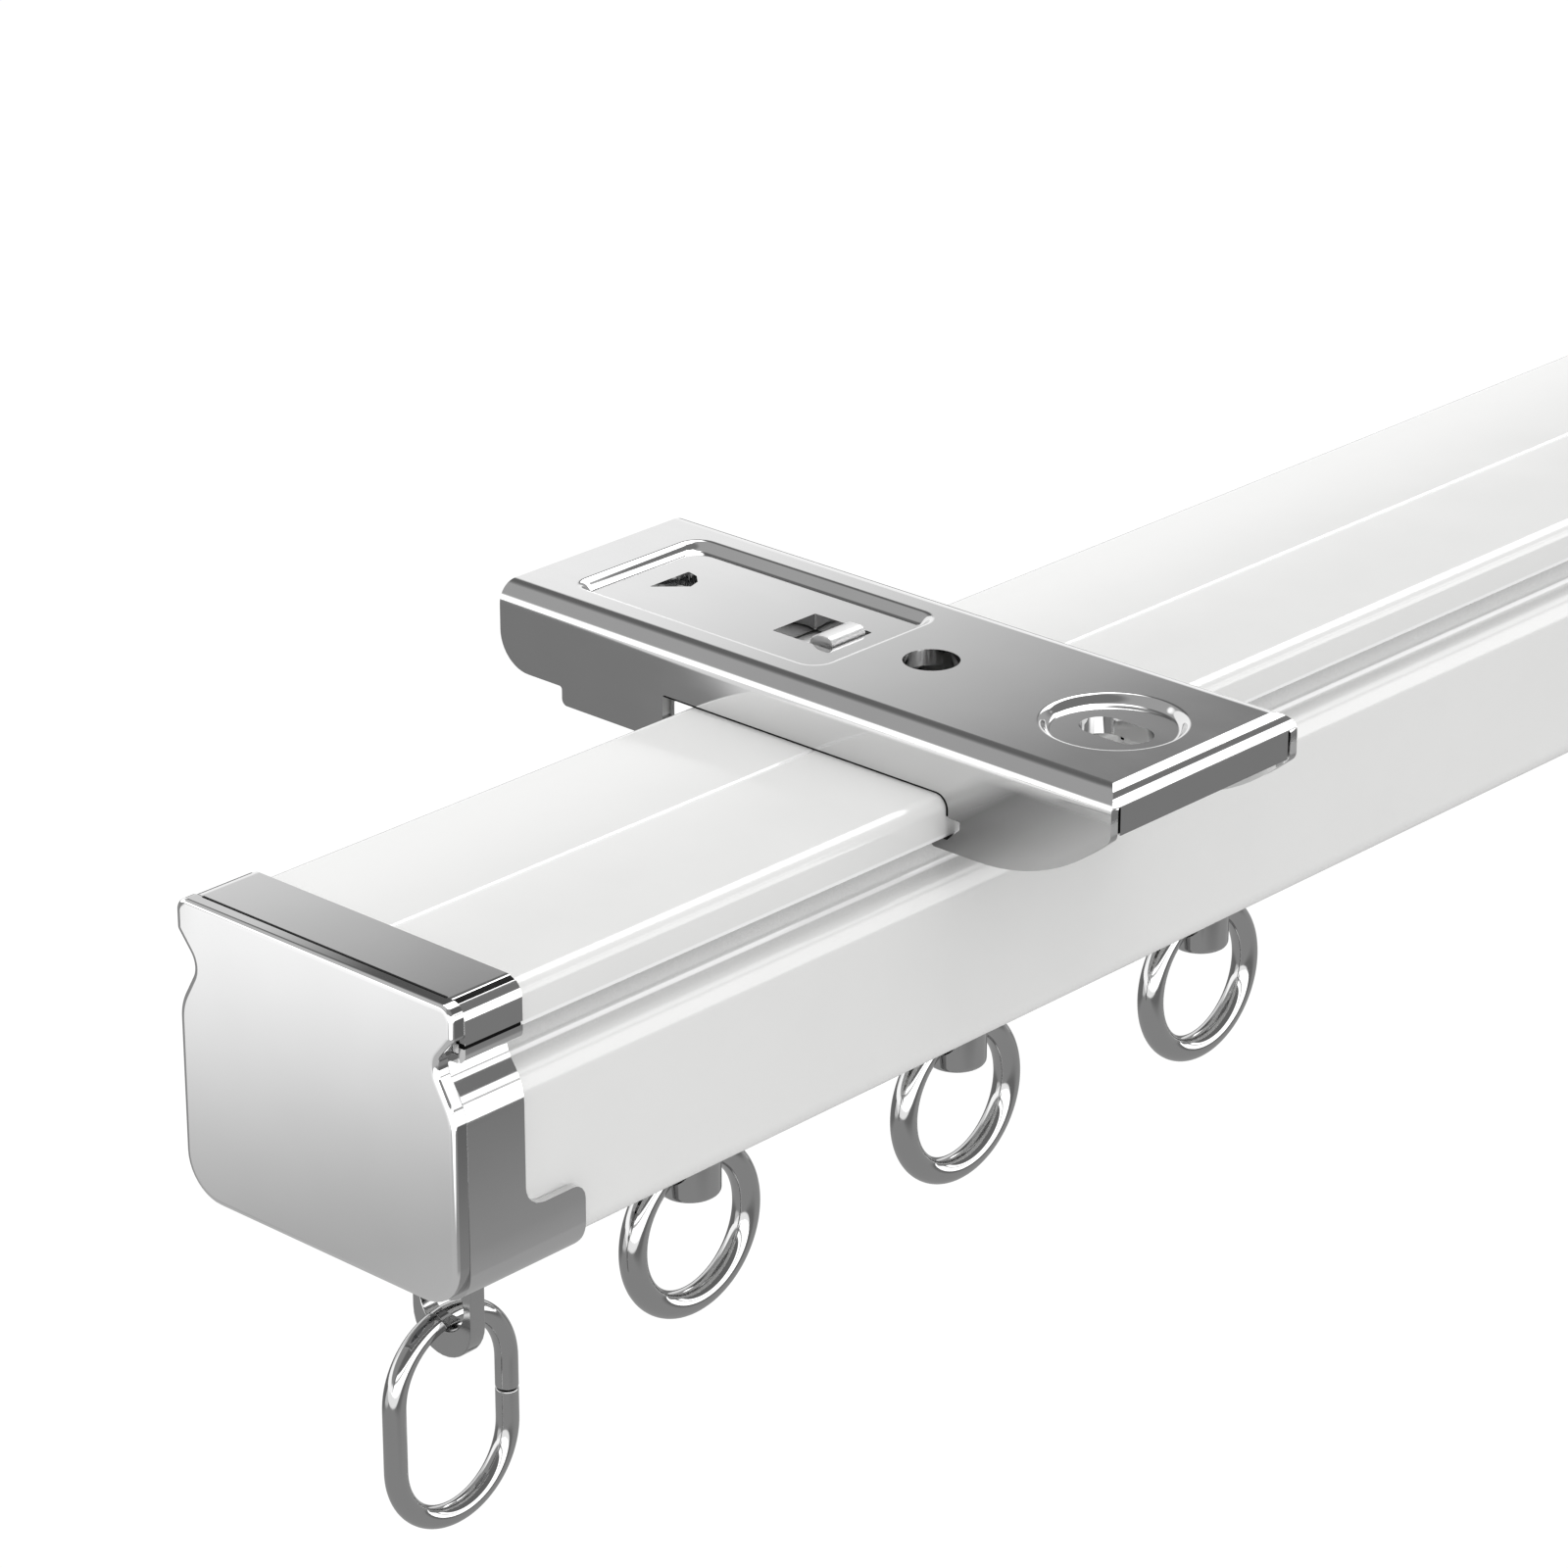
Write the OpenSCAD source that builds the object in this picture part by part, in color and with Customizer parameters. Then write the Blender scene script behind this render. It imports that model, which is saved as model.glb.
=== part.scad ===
// Ceiling curtain track: a waisted C-section rail in two clip-on ceiling brackets,
// with wheeled ring runners, and an end cap, stop block and oval link at each end.
// X runs along the rail, Y across it and Z up. The origin lies on the ceiling plane,
// halfway between the round screw holes of the two brackets.

/* [Track] */
// Length of the whole track over both end caps
track_length = 300; // [240:1:3000]
// Distance from an end cap's face to the middle of the nearest bracket
bracket_inset = 46.9; // [44:0.1:60]
// Distance from the bracket's screw hole line to the middle plane of the rail
screw_offset = 1.75; // [0:0.05:3]

/* [Rail section] */
// Width of the rail over its head and its sides
rail_w = 20; // [19:0.1:22]
// Height of the rail
rail_h = 16.6; // [16:0.1:20]
// Thickness of the rail's wall
rail_wall = 0.95; // [0.8:0.05:1.2]
// Height of the rail's head, from its top to its underside
head_h = 2.4; // [2.2:0.1:2.6]
// Depth of the waist on each side, measured from the rail's side
waist_depth = 1.3; // [1.2:0.05:1.5]
// Height of the waist's upright wall
waist_wall = 1.2; // [1.1:0.05:1.6]
// Height of the slope from the waist out to the rail's side
shoulder_h = 1.95; // [1.8:0.05:2.4]
// Width of the slot in the rail's floor
slot_w = 5; // [4.8:0.1:6]
// Width of the fine groove along the rail's top
groove_w = 0.45; // [0.3:0.05:0.8]
// Depth of the fine groove along the rail's top
groove_depth = 0.22; // [0.1:0.02:0.4]
// Corner radius of the rail's head
head_r = 0.8; // [0.5:0.05:1]
// Radius of the rail's shoulder
shoulder_r = 2.2; // [1:0.1:2.6]
// Corner radius along the rail's floor
floor_r = 1.5; // [1:0.1:2]

/* [End cap] */
// Thickness of the end cap's face
cap_face_t = 1; // [0.8:0.1:1.5]
// Thickness of the end cap's top, sides and floor
cap_wall = 0.48; // [0.4:0.02:0.6]
// Length of the end cap's top and sides
cap_len = 5.1; // [4.5:0.1:6]
// Reach of the end cap's feet and floor
foot_len = 9.5; // [9:0.1:10.5]
// Height of the end cap's feet
foot_h = 3.8; // [3:0.1:5]
// Radius of the lower corners of the end cap's face
cap_corner_r = 2.6; // [2:0.1:3]
// Width of the slits in the end cap's folded sides
cap_slit = 0.16; // [0.12:0.02:0.3]

/* [End stop] */
// Length of the stop block inside the rail
block_len = 11; // [10:0.1:13]
// Width of the stop block
block_w = 14; // [10:0.1:14.4]
// Height of the stop block
block_h = 6.4; // [5:0.1:7]
// Distance from the end cap's face to the lug
lug_inset = 9.3; // [9:0.05:9.6]
// Thickness of the lug's plate
lug_t = 1.1; // [1:0.05:1.4]
// Width of the lug
lug_w = 4.6; // [4.4:0.1:4.6]
// Diameter of the eye in the lug
eye_d = 3.4; // [3.2:0.1:3.5]
// Material under the eye
eye_rim = 1.6; // [1.4:0.1:2]
// Diameter of the clamp screw
clamp_screw_d = 3; // [2.5:0.1:3.5]
// Distance from the end cap's face to the clamp screw
clamp_inset = 4.4; // [4.2:0.1:4.8]
// Diameter of the clamp screw's head
clamp_head_d = 5.4; // [5:0.1:5.8]

/* [End link] */
// Diameter of the link's wire
link_wire = 1.34; // [1.2:0.02:1.4]
// Width of the link between the middles of its legs
link_w = 8.6; // [8:0.1:9.2]
// Height of the link between the middles of its ends
link_h = 12.4; // [11:0.1:14]
// Depth of the link's upper end below the rail's floor
link_drop = 7.9; // [7.6:0.1:8.6]

/* [Runners] */
// Distance from an end cap's face to the first runner
first_runner = 28.45; // [27:0.05:32]
// Distance between neighbouring runners
runner_pitch = 23.1; // [23:0.1:24]
// Length of a runner's carriage
carriage_len = 10; // [9:0.1:11]
// Width of a runner's carriage above the slot
carriage_w = 5.8; // [5.6:0.1:6.2]
// Clear width between a carriage's neck and each side of the slot
neck_clearance = 0.3; // [0.2:0.05:0.4]
// Diameter of a wheel
wheel_d = 8; // [7.4:0.1:8.4]
// Width of a wheel's tread
wheel_w = 2.4; // [2:0.1:2.6]
// Clear height between a wheel and the rail's floor
wheel_clearance = 0.1; // [0.05:0.05:0.2]
// Diameter of an axle
axle_d = 1.6; // [1.4:0.1:1.8]
// Diameter of a stem below the rail
stem_d = 3.66; // [3.4:0.02:4]
// Length of a stem below the rail's floor
stem_len = 7.5; // [7.2:0.1:8.5]
// Diameter of a stem's shank inside the carriage
shank_d = 2; // [1.8:0.1:2.4]
// Diameter of a stem's riveted head
stem_head_d = 3.4; // [3.2:0.1:3.6]
// Diameter of the cross hole in a stem
cross_hole_d = 2.64; // [2.6:0.02:2.8]
// Depth of the cross hole below the rail's floor
cross_hole_drop = 5.1; // [4.9:0.05:5.3]
// Diameter of a ring's wire
ring_wire = 1.64; // [1.5:0.02:1.66]
// Diameter of a ring through the middle of its wire
ring_d = 9.4; // [9.2:0.1:9.8]

/* [Bracket] */
// Width of a bracket along the rail
bracket_w = 16.3; // [15:0.1:18]
// Height of a bracket's top above the rail
bracket_h = 3.6; // [3.5:0.05:4]
// Thickness of the bracket's sheet
sheet_t = 1; // [0.8:0.05:1]
// Outer radius of the bends along the bracket
bend_r = 1.3; // [1.1:0.1:1.6]
// Reach of the bracket's hooked end from the rail's middle
hook_reach = 21.9; // [20.5:0.1:23]
// Reach of the bracket's sprung end from the rail's middle
spring_reach = 25.15; // [25:0.05:27]
// Depth of the side flanges beside the catch, below the rail's top
skirt_depth = 2.75; // [2.5:0.05:3]
// Diameter of the round screw hole
screw_hole_d = 3.35; // [3.2:0.05:4]
// Diameter of the round pressing at its rim
dish_d = 8.7; // [8:0.1:9.4]
// Depth of the round pressing and of the long panel
press_depth = 0.5; // [0.3:0.05:0.5]
// Distance from the rail's middle plane to the round pressing
dish_offset = 15.5; // [15.2:0.1:16]
// Length of the slotted screw hole
slot_hole_len = 4.7; // [4:0.1:5]
// Width of the slotted screw hole
slot_hole_w = 2.6; // [2.2:0.1:3]
// Width of the long pressed panel
panel_w = 10.2; // [9:0.1:10.4]
// Length of the long pressed panel
panel_len = 19; // [18:0.1:19.4]
// Distance from the rail's middle plane to the panel's near end
panel_start = 2.6; // [2.4:0.1:3]
// Length of the window over the catch's tab
window_len = 4.5; // [4.4:0.1:4.8]
// Width of the window over the catch's tab
window_w = 3.7; // [3.4:0.1:4.2]

/* [Catch] */
// Travel of the catch when it is pressed open
catch_travel = 2.2; // [2:0.05:2.3]
// Thickness of the catch's plate
catch_t = 1.7; // [1.4:0.05:1.8]
// Clear width between the catch and each side flange
catch_clearance = 0.25; // [0.2:0.05:0.4]
// Reach of the catch's jaw under the rail's head
jaw_reach = 0.9; // [0.7:0.05:1]
// Length of the tab in the window
tab_len = 1.8; // [1.6:0.1:1.9]
// Diameter of the spring's wire
spring_wire = 0.4; // [0.36:0.02:0.44]
// Outer diameter of the spring
spring_d = 2.8; // [2.6:0.1:2.9]
// Number of turns in the spring
spring_turns = 8; // [6:1:8]

/* [Hidden] */

// Facets of a full circle on turned pieces
$fn = 48;
// Steps in each rounded corner of an outline
corner_steps = 8;
// Overlap that makes a cut pass right through
through = 1;
// Clear gap between pieces that rest on each other
seat_gap = 0.04;
// Radial clearance of a turning fit
run_gap = 0.05;
// Radial clearance of a wheel pressed on its axle
press_gap = 0.02;

half_len = track_length / 2;
half_w = rail_w / 2;
floor_top = -rail_h + rail_wall;
waist_y = half_w - waist_depth;

// Heights of the rail's waist, from its head down to the shoulder
waist_top = -head_h;
waist_bottom = waist_top - waist_wall;
shoulder_z = waist_bottom - shoulder_h;

// Places of the runners along the rail, from left to right
near_runners = [for (i = [0 : 2]) -half_len + first_runner + i * runner_pitch];
far_runners = [for (i = [2 : -1 : 0]) half_len - first_runner - i * runner_pitch];
runner_x = concat(near_runners, far_runners);
bracket_x = half_len - bracket_inset;

// A unit vector along v
function unit(v) = v / norm(v);

// The point of p without its radius
function spot(p) = [p[0], p[1]];

// The cross product of two plane vectors
function cross2(u, v) = u[0] * v[1] - u[1] * v[0];

// The arc that rounds corner b, between a and c, with radius b[2]
function corner_arc(a, b, c) =
    b[2] <= 0 ? [spot(b)] :
    let (
        u = unit(spot(a) - spot(b)),
        v = unit(spot(c) - spot(b)),
        half = acos(u * v) / 2,
        centre = spot(b) + unit(u + v) * b[2] / sin(half),
        p = spot(b) + u * b[2] / tan(half) - centre,
        q = spot(b) + v * b[2] / tan(half) - centre,
        turn = (180 - 2 * half) * sign(cross2(p, q))
    )
    [for (i = [0 : corner_steps])
        let (t = turn * i / corner_steps)
        centre + [p[0] * cos(t) - p[1] * sin(t), p[0] * sin(t) + p[1] * cos(t)]];

// The outline through corners [x, y, r], each rounded with its own radius
function rounded(pts) =
    let (n = len(pts))
    [for (i = [0 : n - 1]) each corner_arc(pts[(i + n - 1) % n], pts[i], pts[(i + 1) % n])];

// Corner b of a counter-clockwise outline, moved inwards by d together with its two edges
function moved_corner(a, b, c, d) =
    let (
        e = unit(spot(b) - spot(a)),
        f = unit(spot(c) - spot(b)),
        m = [-e[1], e[0]],
        n = [-f[1], f[0]],
        p = spot(b) + (m + n) * d / (1 + m * n)
    )
    [p[0], p[1], max(b[2] - d * sign(cross2(e, f)), 0)];

// A counter-clockwise outline of corners, moved inwards by d
function inset(pts, d) =
    let (n = len(pts))
    [for (i = [0 : n - 1]) moved_corner(pts[(i + n - 1) % n], pts[i], pts[(i + 1) % n], d)];

// The right half of an outline of corners, joined to its mirror image
function both_sides(half) =
    concat(half, [for (i = [len(half) - 1 : -1 : 0]) [-half[i][0], half[i][1], half[i][2]]]);

// A counter-clockwise rectangle of corners with radius r
function box_corners(x0, y0, x1, y1, r) = [[x0, y0, r], [x1, y0, r], [x1, y1, r], [x0, y1, r]];

// The rail's outer section, seen along X
rail_corners = both_sides([
    [half_w, -rail_h, floor_r],
    [half_w, shoulder_z, shoulder_r],
    [waist_y, waist_bottom, 0.7],
    [waist_y, waist_top, 0.3],
    [half_w, waist_top, 0.35],
    [half_w, 0, head_r]
]);

// The same section without its head, from which the hollow is taken
hollow_corners = both_sides([
    [half_w, -rail_h, floor_r],
    [half_w, shoulder_z, shoulder_r],
    [waist_y, waist_bottom, 0.7],
    [waist_y, 0, rail_wall + 0.4]
]);

// Moves a piece from the middle of the rail's top to the ceiling's frame
module hang() {
    translate([0, screw_offset, -bracket_h]) children();
}

// Draws a piece at the left end, or its mirror image at the right end
module at_end(side) {
    hang() mirror([side > 0 ? 1 : 0, 0, 0]) translate([-half_len, 0, 0]) children();
}

// Carries an outline in Y and Z along X
module along_x(x0, x1) {
    translate([x0, 0, 0]) rotate([90, 0, 90]) linear_extrude(x1 - x0) children();
}

// Carries an outline in X and Z along Y
module along_y(y0, y1) {
    translate([0, y1, 0]) rotate([90, 0, 0]) linear_extrude(y1 - y0) children();
}

// A block between two corners
module block(low, high) {
    translate(low) cube(high - low);
}

// The white rail, open below through its slot
module rail() {
    rail_end = half_len - cap_face_t - seat_gap;
    color("white") hang() along_x(-rail_end, rail_end) difference() {
        polygon(rounded(rail_corners));
        polygon(rounded(inset(hollow_corners, rail_wall)));
        translate([-slot_w / 2, -rail_h - through]) square([slot_w, rail_wall + 2 * through]);
        polygon([[-groove_w / 2, 0.01], [0, -groove_depth], [groove_w / 2, 0.01]]);
    }
}

// The folded shell of an end cap around the rail: top, sides, feet and floor
cap_bottom = -rail_h - seat_gap - cap_wall;
module cap_shell() {
    slit_z = waist_top + 0.1;
    slit_y = half_w - head_r;
    difference() {
        intersection() {
            along_x(cap_face_t, foot_len) difference() {
                polygon(rounded(inset(rail_corners, -seat_gap - cap_wall)));
                polygon(rounded(inset(rail_corners, -seat_gap)));
            }
            // The sides end at the cap's length, and only the feet and the floor go on
            along_y(-rail_w, rail_w) polygon(rounded([
                [0, cap_bottom, 0],
                [foot_len, cap_bottom, 1],
                [foot_len, -rail_h + foot_h, 0.9],
                [cap_len, -rail_h + foot_h, 1.3],
                [cap_len, rail_h, 0],
                [0, rail_h, 0]
            ]));
        }
        for (side = [-1, 1]) {
            // A slit between the side of the head and the waist
            block(
                [cap_face_t - 0.3, side * half_w - 1.6, slit_z - cap_slit],
                [cap_len + through, side * half_w + 1.6, slit_z]
            );
            // A slit between the top and the side of the head
            block(
                [cap_face_t - 0.3, side * slit_y - cap_slit / 2, -0.2],
                [cap_len + through, side * slit_y + cap_slit / 2, cap_wall + through]
            );
        }
        // The floor is open around the lug
        block(
            [lug_inset - 2.1, -slot_w / 2, cap_bottom - through],
            [foot_len + through, slot_w / 2, -rail_h + 0.02]
        );
    }
}

// The end cap's outer face outline: wider than the rail by the shell
cap_face_half_w = half_w + seat_gap + cap_wall;
cap_face_corners = both_sides([
    [cap_face_half_w, cap_bottom, cap_corner_r],
    [cap_face_half_w, shoulder_z - 0.25, 1.5],
    [waist_y + 0.3, waist_bottom + 0.45, 1.2],
    [cap_face_half_w - 0.02, waist_top + 1.05, 0.4],
    [cap_face_half_w - 0.02, seat_gap + cap_wall, 0.8]
]);

// An end cap: a thick face with a folded shell behind it
module end_cap(side) {
    color("silver") at_end(side) difference() {
        union() {
            along_x(0, cap_face_t) polygon(rounded(cap_face_corners));
            cap_shell();
        }
        translate([clamp_inset, 0, -rail_h - through - cap_wall])
            cylinder(d = clamp_screw_d + 0.4, h = 2 * through + cap_wall + rail_wall);
    }
}

// A stop block in the rail's end, with the lug that hangs down through the slot
eye_z = -rail_h - link_drop - link_wire / 2 - 0.08 + eye_d / 2;
lug_bottom = eye_z - eye_d / 2 - eye_rim;
block_start = cap_face_t + 0.3;
neck_half_w = min(slot_w / 2 - 0.2, lug_w / 2);
neck_reach = 1.3;
module stop_block(side) {
    color("lightgray") at_end(side) difference() {
        union() {
            along_y(-block_w / 2, block_w / 2) polygon(rounded(box_corners(
                block_start, floor_top + seat_gap,
                block_start + block_len, floor_top + seat_gap + block_h, 0.8
            )));
            along_y(-neck_half_w, neck_half_w) polygon(rounded([
                [lug_inset - neck_reach, floor_top + 1, 0],
                [lug_inset - neck_reach, -rail_h - 1.2, 0.6],
                [lug_inset - lug_t / 2, -rail_h - 2.5, 0.8],
                [lug_inset - lug_t / 2, -rail_h - 3.2, 0],
                [lug_inset + lug_t / 2, -rail_h - 3.2, 0],
                [lug_inset + lug_t / 2, -rail_h - 2.5, 0.8],
                [lug_inset + neck_reach, -rail_h - 1.2, 0.6],
                [lug_inset + neck_reach, floor_top + 1, 0]
            ]));
            along_x(lug_inset - lug_t / 2, lug_inset + lug_t / 2) polygon(rounded([
                [-lug_w / 2, lug_bottom, lug_w / 2 - 0.02],
                [lug_w / 2, lug_bottom, lug_w / 2 - 0.02],
                [lug_w / 2, -rail_h + 0.1, 0],
                [-lug_w / 2, -rail_h + 0.1, 0]
            ]));
        }
        translate([lug_inset, 0, eye_z]) rotate([0, 90, 0])
            cylinder(d = eye_d, h = 2 * lug_t, center = true);
        translate([clamp_inset, 0, floor_top - through])
            cylinder(d = clamp_screw_d + 2 * press_gap, h = block_h + 2 * through);
    }
}

// The clamp screw that pulls the stop block down onto the rail's floor
module clamp_screw(side) {
    head_h2 = 1.5;
    head_top = cap_bottom - seat_gap;
    color("silver") at_end(side) translate([clamp_inset, 0, head_top]) difference() {
        union() {
            cylinder(d = clamp_screw_d, h = -head_top + floor_top + block_h - 0.6);
            rotate([180, 0, 0]) rotate_extrude() polygon([
                [0, 0],
                [clamp_head_d / 2, 0],
                [clamp_head_d / 2, head_h2 * 0.55],
                [clamp_head_d / 2 - 0.35, head_h2 * 0.85],
                [clamp_head_d / 2 - 0.9, head_h2],
                [0, head_h2]
            ]);
        }
        for (turn = [0, 90])
            rotate([0, 0, turn]) block([-1.4, -0.3, -head_h2 - through], [1.4, 0.3, -head_h2 + 0.8]);
    }
}

// An oval link of round wire, with the butt joint where its ends meet
link_top = -rail_h - link_drop;
module end_link(side) {
    leg = link_w / 2;
    joint_w = 0.12;
    color("silver") at_end(side) translate([lug_inset, 0, link_top]) difference() {
        union() {
            link_bow(0);
            link_bow(180);
            for (x = [-leg, leg])
                translate([x, 0, -link_h + leg]) cylinder(d = link_wire, h = link_h - link_w);
        }
        block(
            [leg - link_wire, -link_wire, -link_h / 2 - joint_w / 2],
            [leg + link_wire, link_wire, -link_h / 2 + joint_w / 2]
        );
    }
}

// Half a ring of the link's wire: the upper bow, or the lower one when turned over
module link_bow(turn) {
    leg = link_w / 2;
    translate([0, 0, -link_h / 2]) rotate([0, turn, 0]) translate([0, 0, link_h / 2 - leg])
        rotate([90, 0, 0]) rotate_extrude(angle = 180) translate([leg, 0]) circle(d = link_wire);
}

// Heights of the parts of a runner, from the axle down to the ring
axle_z = floor_top + wheel_clearance + wheel_d / 2;
carriage_top = axle_z + 2.9;
carriage_bottom = floor_top + 0.3;
neck_bottom = -rail_h + 0.05;
window_top = axle_z - axle_d / 2 - 0.3;
stem_head_t = 0.8;
window_bottom = window_top - stem_head_t - 0.15;
carriage_y = carriage_w / 2;
wheel_y = carriage_y + 0.35;
hub_reach = 0.2;

// A runner's carriage, with its axle bore, head window and neck through the slot
module carriage(i) {
    neck_y = slot_w / 2 - neck_clearance;
    color("whitesmoke") hang() translate([runner_x[i], 0, 0]) difference() {
        union() {
            along_y(-carriage_y, carriage_y) polygon(rounded(box_corners(
                -carriage_len / 2, carriage_bottom, carriage_len / 2, carriage_top, 1
            )));
            along_y(-neck_y, neck_y) polygon(rounded(box_corners(
                -carriage_len / 2 + 1.5, neck_bottom,
                carriage_len / 2 - 1.5, carriage_bottom + 1, 0.3
            )));
        }
        translate([0, 0, axle_z]) rotate([90, 0, 0])
            cylinder(d = axle_d + 2 * run_gap, h = carriage_w + 2 * through, center = true);
        block(
            [-carriage_len / 2 - through, -stem_head_d / 2 - 0.2, window_bottom],
            [carriage_len / 2 + through, stem_head_d / 2 + 0.2, window_top]
        );
        translate([0, 0, neck_bottom - through])
            cylinder(d = shank_d + 2 * run_gap, h = window_bottom - neck_bottom + 2 * through);
    }
}

// A runner's axle, with a riveted head outside each wheel
module axle(i) {
    tip = wheel_y + wheel_w + hub_reach + seat_gap;
    color("silver") hang() translate([runner_x[i], 0, axle_z]) rotate([90, 0, 0]) union() {
        cylinder(d = axle_d, h = 2 * tip + 0.4, center = true);
        for (side = [-1, 1])
            translate([0, 0, side * (tip + 0.25)]) cylinder(d = axle_d + 0.9, h = 0.5, center = true);
    }
}

// A runner's wheel: a tread with rounded edges, a thin web and a hub; side -1 is the front
module wheel(i, side) {
    r = wheel_d / 2;
    bore = axle_d / 2 + press_gap;
    hub_r = axle_d / 2 + 0.8;
    rim_r = r - 0.9;
    dish = 0.45;
    color("whitesmoke") hang() translate([runner_x[i], 0, axle_z]) rotate([-side * 90, 0, 0])
        translate([0, 0, wheel_y]) rotate_extrude() polygon([
            [bore, -hub_reach],
            [hub_r, -hub_reach],
            [hub_r, dish],
            [rim_r, dish],
            [rim_r, 0],
            [r - 0.25, 0],
            [r, 0.25],
            [r, wheel_w - 0.25],
            [r - 0.25, wheel_w],
            [rim_r, wheel_w],
            [rim_r, wheel_w - dish],
            [hub_r, wheel_w - dish],
            [hub_r, wheel_w + hub_reach],
            [bore, wheel_w + hub_reach]
        ]);
}

// A runner's swivelling stem, with a cross hole for the ring
module stem(i) {
    r = stem_d / 2;
    top = neck_bottom - 0.1;
    bottom = -rail_h - stem_len;
    edge = 0.35;
    arc = [for (t = [0 : 15 : 90]) [r - edge + edge * sin(t), bottom + edge - edge * cos(t)]];
    color("silver") hang() translate([runner_x[i], 0, 0]) difference() {
        rotate_extrude() polygon(concat(
            [[0, bottom]],
            arc,
            [
                [r, top - 0.2],
                [r - 0.2, top],
                [shank_d / 2, top],
                [shank_d / 2, window_bottom + 0.05],
                [stem_head_d / 2, window_bottom + 0.05],
                [stem_head_d / 2, window_bottom + stem_head_t - 0.2],
                [stem_head_d / 2 - 0.4, window_bottom + stem_head_t],
                [0, window_bottom + stem_head_t]
            ]
        ));
        translate([0, 0, -rail_h - cross_hole_drop]) rotate([0, 90, 0])
            cylinder(d = cross_hole_d, h = stem_d + 2 * through, center = true);
    }
}

// A runner's ring of round wire, hanging in the stem's cross hole
module ring(i) {
    color("silver") hang()
        translate([runner_x[i], 0, -rail_h - cross_hole_drop - ring_d / 2]) rotate([90, 0, 0])
        rotate_extrude() translate([ring_d / 2, 0]) circle(d = ring_wire);
}

// The bracket's side outline in Y and Z: hook, seat on the rail, skirt and rounded end
head_gap = 0.15;
hook_z = waist_top - 0.8;
hook_corners = [
    [-hook_reach, bracket_h, 1],
    [-hook_reach, bracket_h - 2.65, 0.6],
    [-hook_reach + 5.4, hook_z, 8],
    [-waist_y - 0.3, hook_z, 0.25],
    [-waist_y - 0.3, waist_top - head_gap, 0.15],
    [-half_w - 0.2, waist_top - head_gap, 0.1],
    [-half_w - 1.1, waist_top + 0.75, 0.1],
    [-half_w - 1.1, waist_top + 1.2, 0.1],
    [-half_w - head_gap, waist_top + 1.2, 0.1],
    [-half_w - head_gap, seat_gap, head_r - 0.05]
];
skirt_corners = [
    [half_w + 1.8, seat_gap, 0.2],
    [half_w + 1.8, -skirt_depth, 0.15],
    [spring_reach - 5.1, -skirt_depth, 0.4],
    [spring_reach - 5.1, -skirt_depth + 1.15, 0.2],
    [spring_reach, -skirt_depth + 1.15, 2.3],
    [spring_reach, bracket_h, 0]
];

// Places of the catch's pieces across the rail
tab_y = panel_start + 2;
ear_y = half_w + 3.6;
ear_t = 0.9;
seat_y = spring_reach - 1.9;
seat_t = 0.8;
catch_top = bracket_h - sheet_t - press_depth - 0.1;
catch_bottom = catch_top - catch_t;
catch_half_w = bracket_w / 2 - sheet_t - catch_clearance;
jaw_half_w = catch_half_w - 1.2;
jaw_y = half_w + head_gap;
spring_z = catch_top - spring_d / 2 - 0.15;

// The long pressed panel's outline in X and Y
module panel_outline(grow) {
    polygon(rounded(box_corners(
        -panel_w / 2 - grow, panel_start - grow,
        panel_w / 2 + grow, panel_start + panel_len + grow, 1 + grow
    )));
}

// A bracket's body of folded and pressed sheet
module bracket_body(side) {
    top = bracket_h;
    under = top - sheet_t;
    outer = [
        [-bracket_w / 2, -rail_h, 0],
        [bracket_w / 2, -rail_h, 0],
        [bracket_w / 2, top, bend_r],
        [-bracket_w / 2, top, bend_r]
    ];
    color("silver") hang() translate([side * bracket_x, 0, 0]) difference() {
        union() {
            intersection() {
                along_y(-hook_reach, spring_reach) difference() {
                    polygon(rounded(outer));
                    polygon(rounded(inset(outer, sheet_t)));
                    translate([-bracket_w, -2 * rail_h]) square([2 * bracket_w, rail_h + 1]);
                }
                along_x(-bracket_w, bracket_w) polygon(rounded(concat(hook_corners, skirt_corners)));
            }
            // The end tab between the flanges at the hooked end
            intersection() {
                block(
                    [-bracket_w / 2 + sheet_t + 0.25, -hook_reach, bracket_h - 2.7],
                    [bracket_w / 2 - sheet_t - 0.25, -hook_reach + sheet_t, under + 0.2]
                );
                along_x(-bracket_w, bracket_w) polygon(rounded(concat(hook_corners, skirt_corners)));
            }
            // Lips bent in from the flanges, which carry the catch's plate
            for (turn = [0, 1])
                mirror([turn, 0, 0]) block(
                    [jaw_half_w + 0.2, half_w + 1.85, catch_bottom - 0.9],
                    [bracket_w / 2 - sheet_t + 0.2, half_w + 4.4, catch_bottom - 0.1]
                );
            // The seat for the spring, bent down from the top
            block([-2.6, seat_y, spring_z - 1.6], [2.6, seat_y + seat_t, under + 0.2]);
            // The undersides of the pressed panel and of the round pressing
            translate([0, 0, under - press_depth]) linear_extrude(press_depth + 0.1)
                panel_outline(0.6);
            translate([0, -dish_offset, under - press_depth])
                cylinder(d = dish_d + 1, h = press_depth + 0.1);
        }
        translate([0, 0, top - press_depth]) linear_extrude(press_depth + through)
            panel_outline(0);
        translate([0, -dish_offset, top - press_depth])
            cylinder(d1 = dish_d - 0.9, d2 = dish_d, h = press_depth + 0.001);
        translate([0, -screw_offset, 0]) cylinder(d = screw_hole_d, h = top + through);
        translate([0, -dish_offset, 0]) slot_hole();
        translate([0, panel_start + 14.9, 0]) arrow_hole();
        block(
            [-window_w / 2, tab_y - 0.15, 0],
            [window_w / 2, tab_y - 0.15 + window_len, top + through]
        );
    }
}

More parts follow.
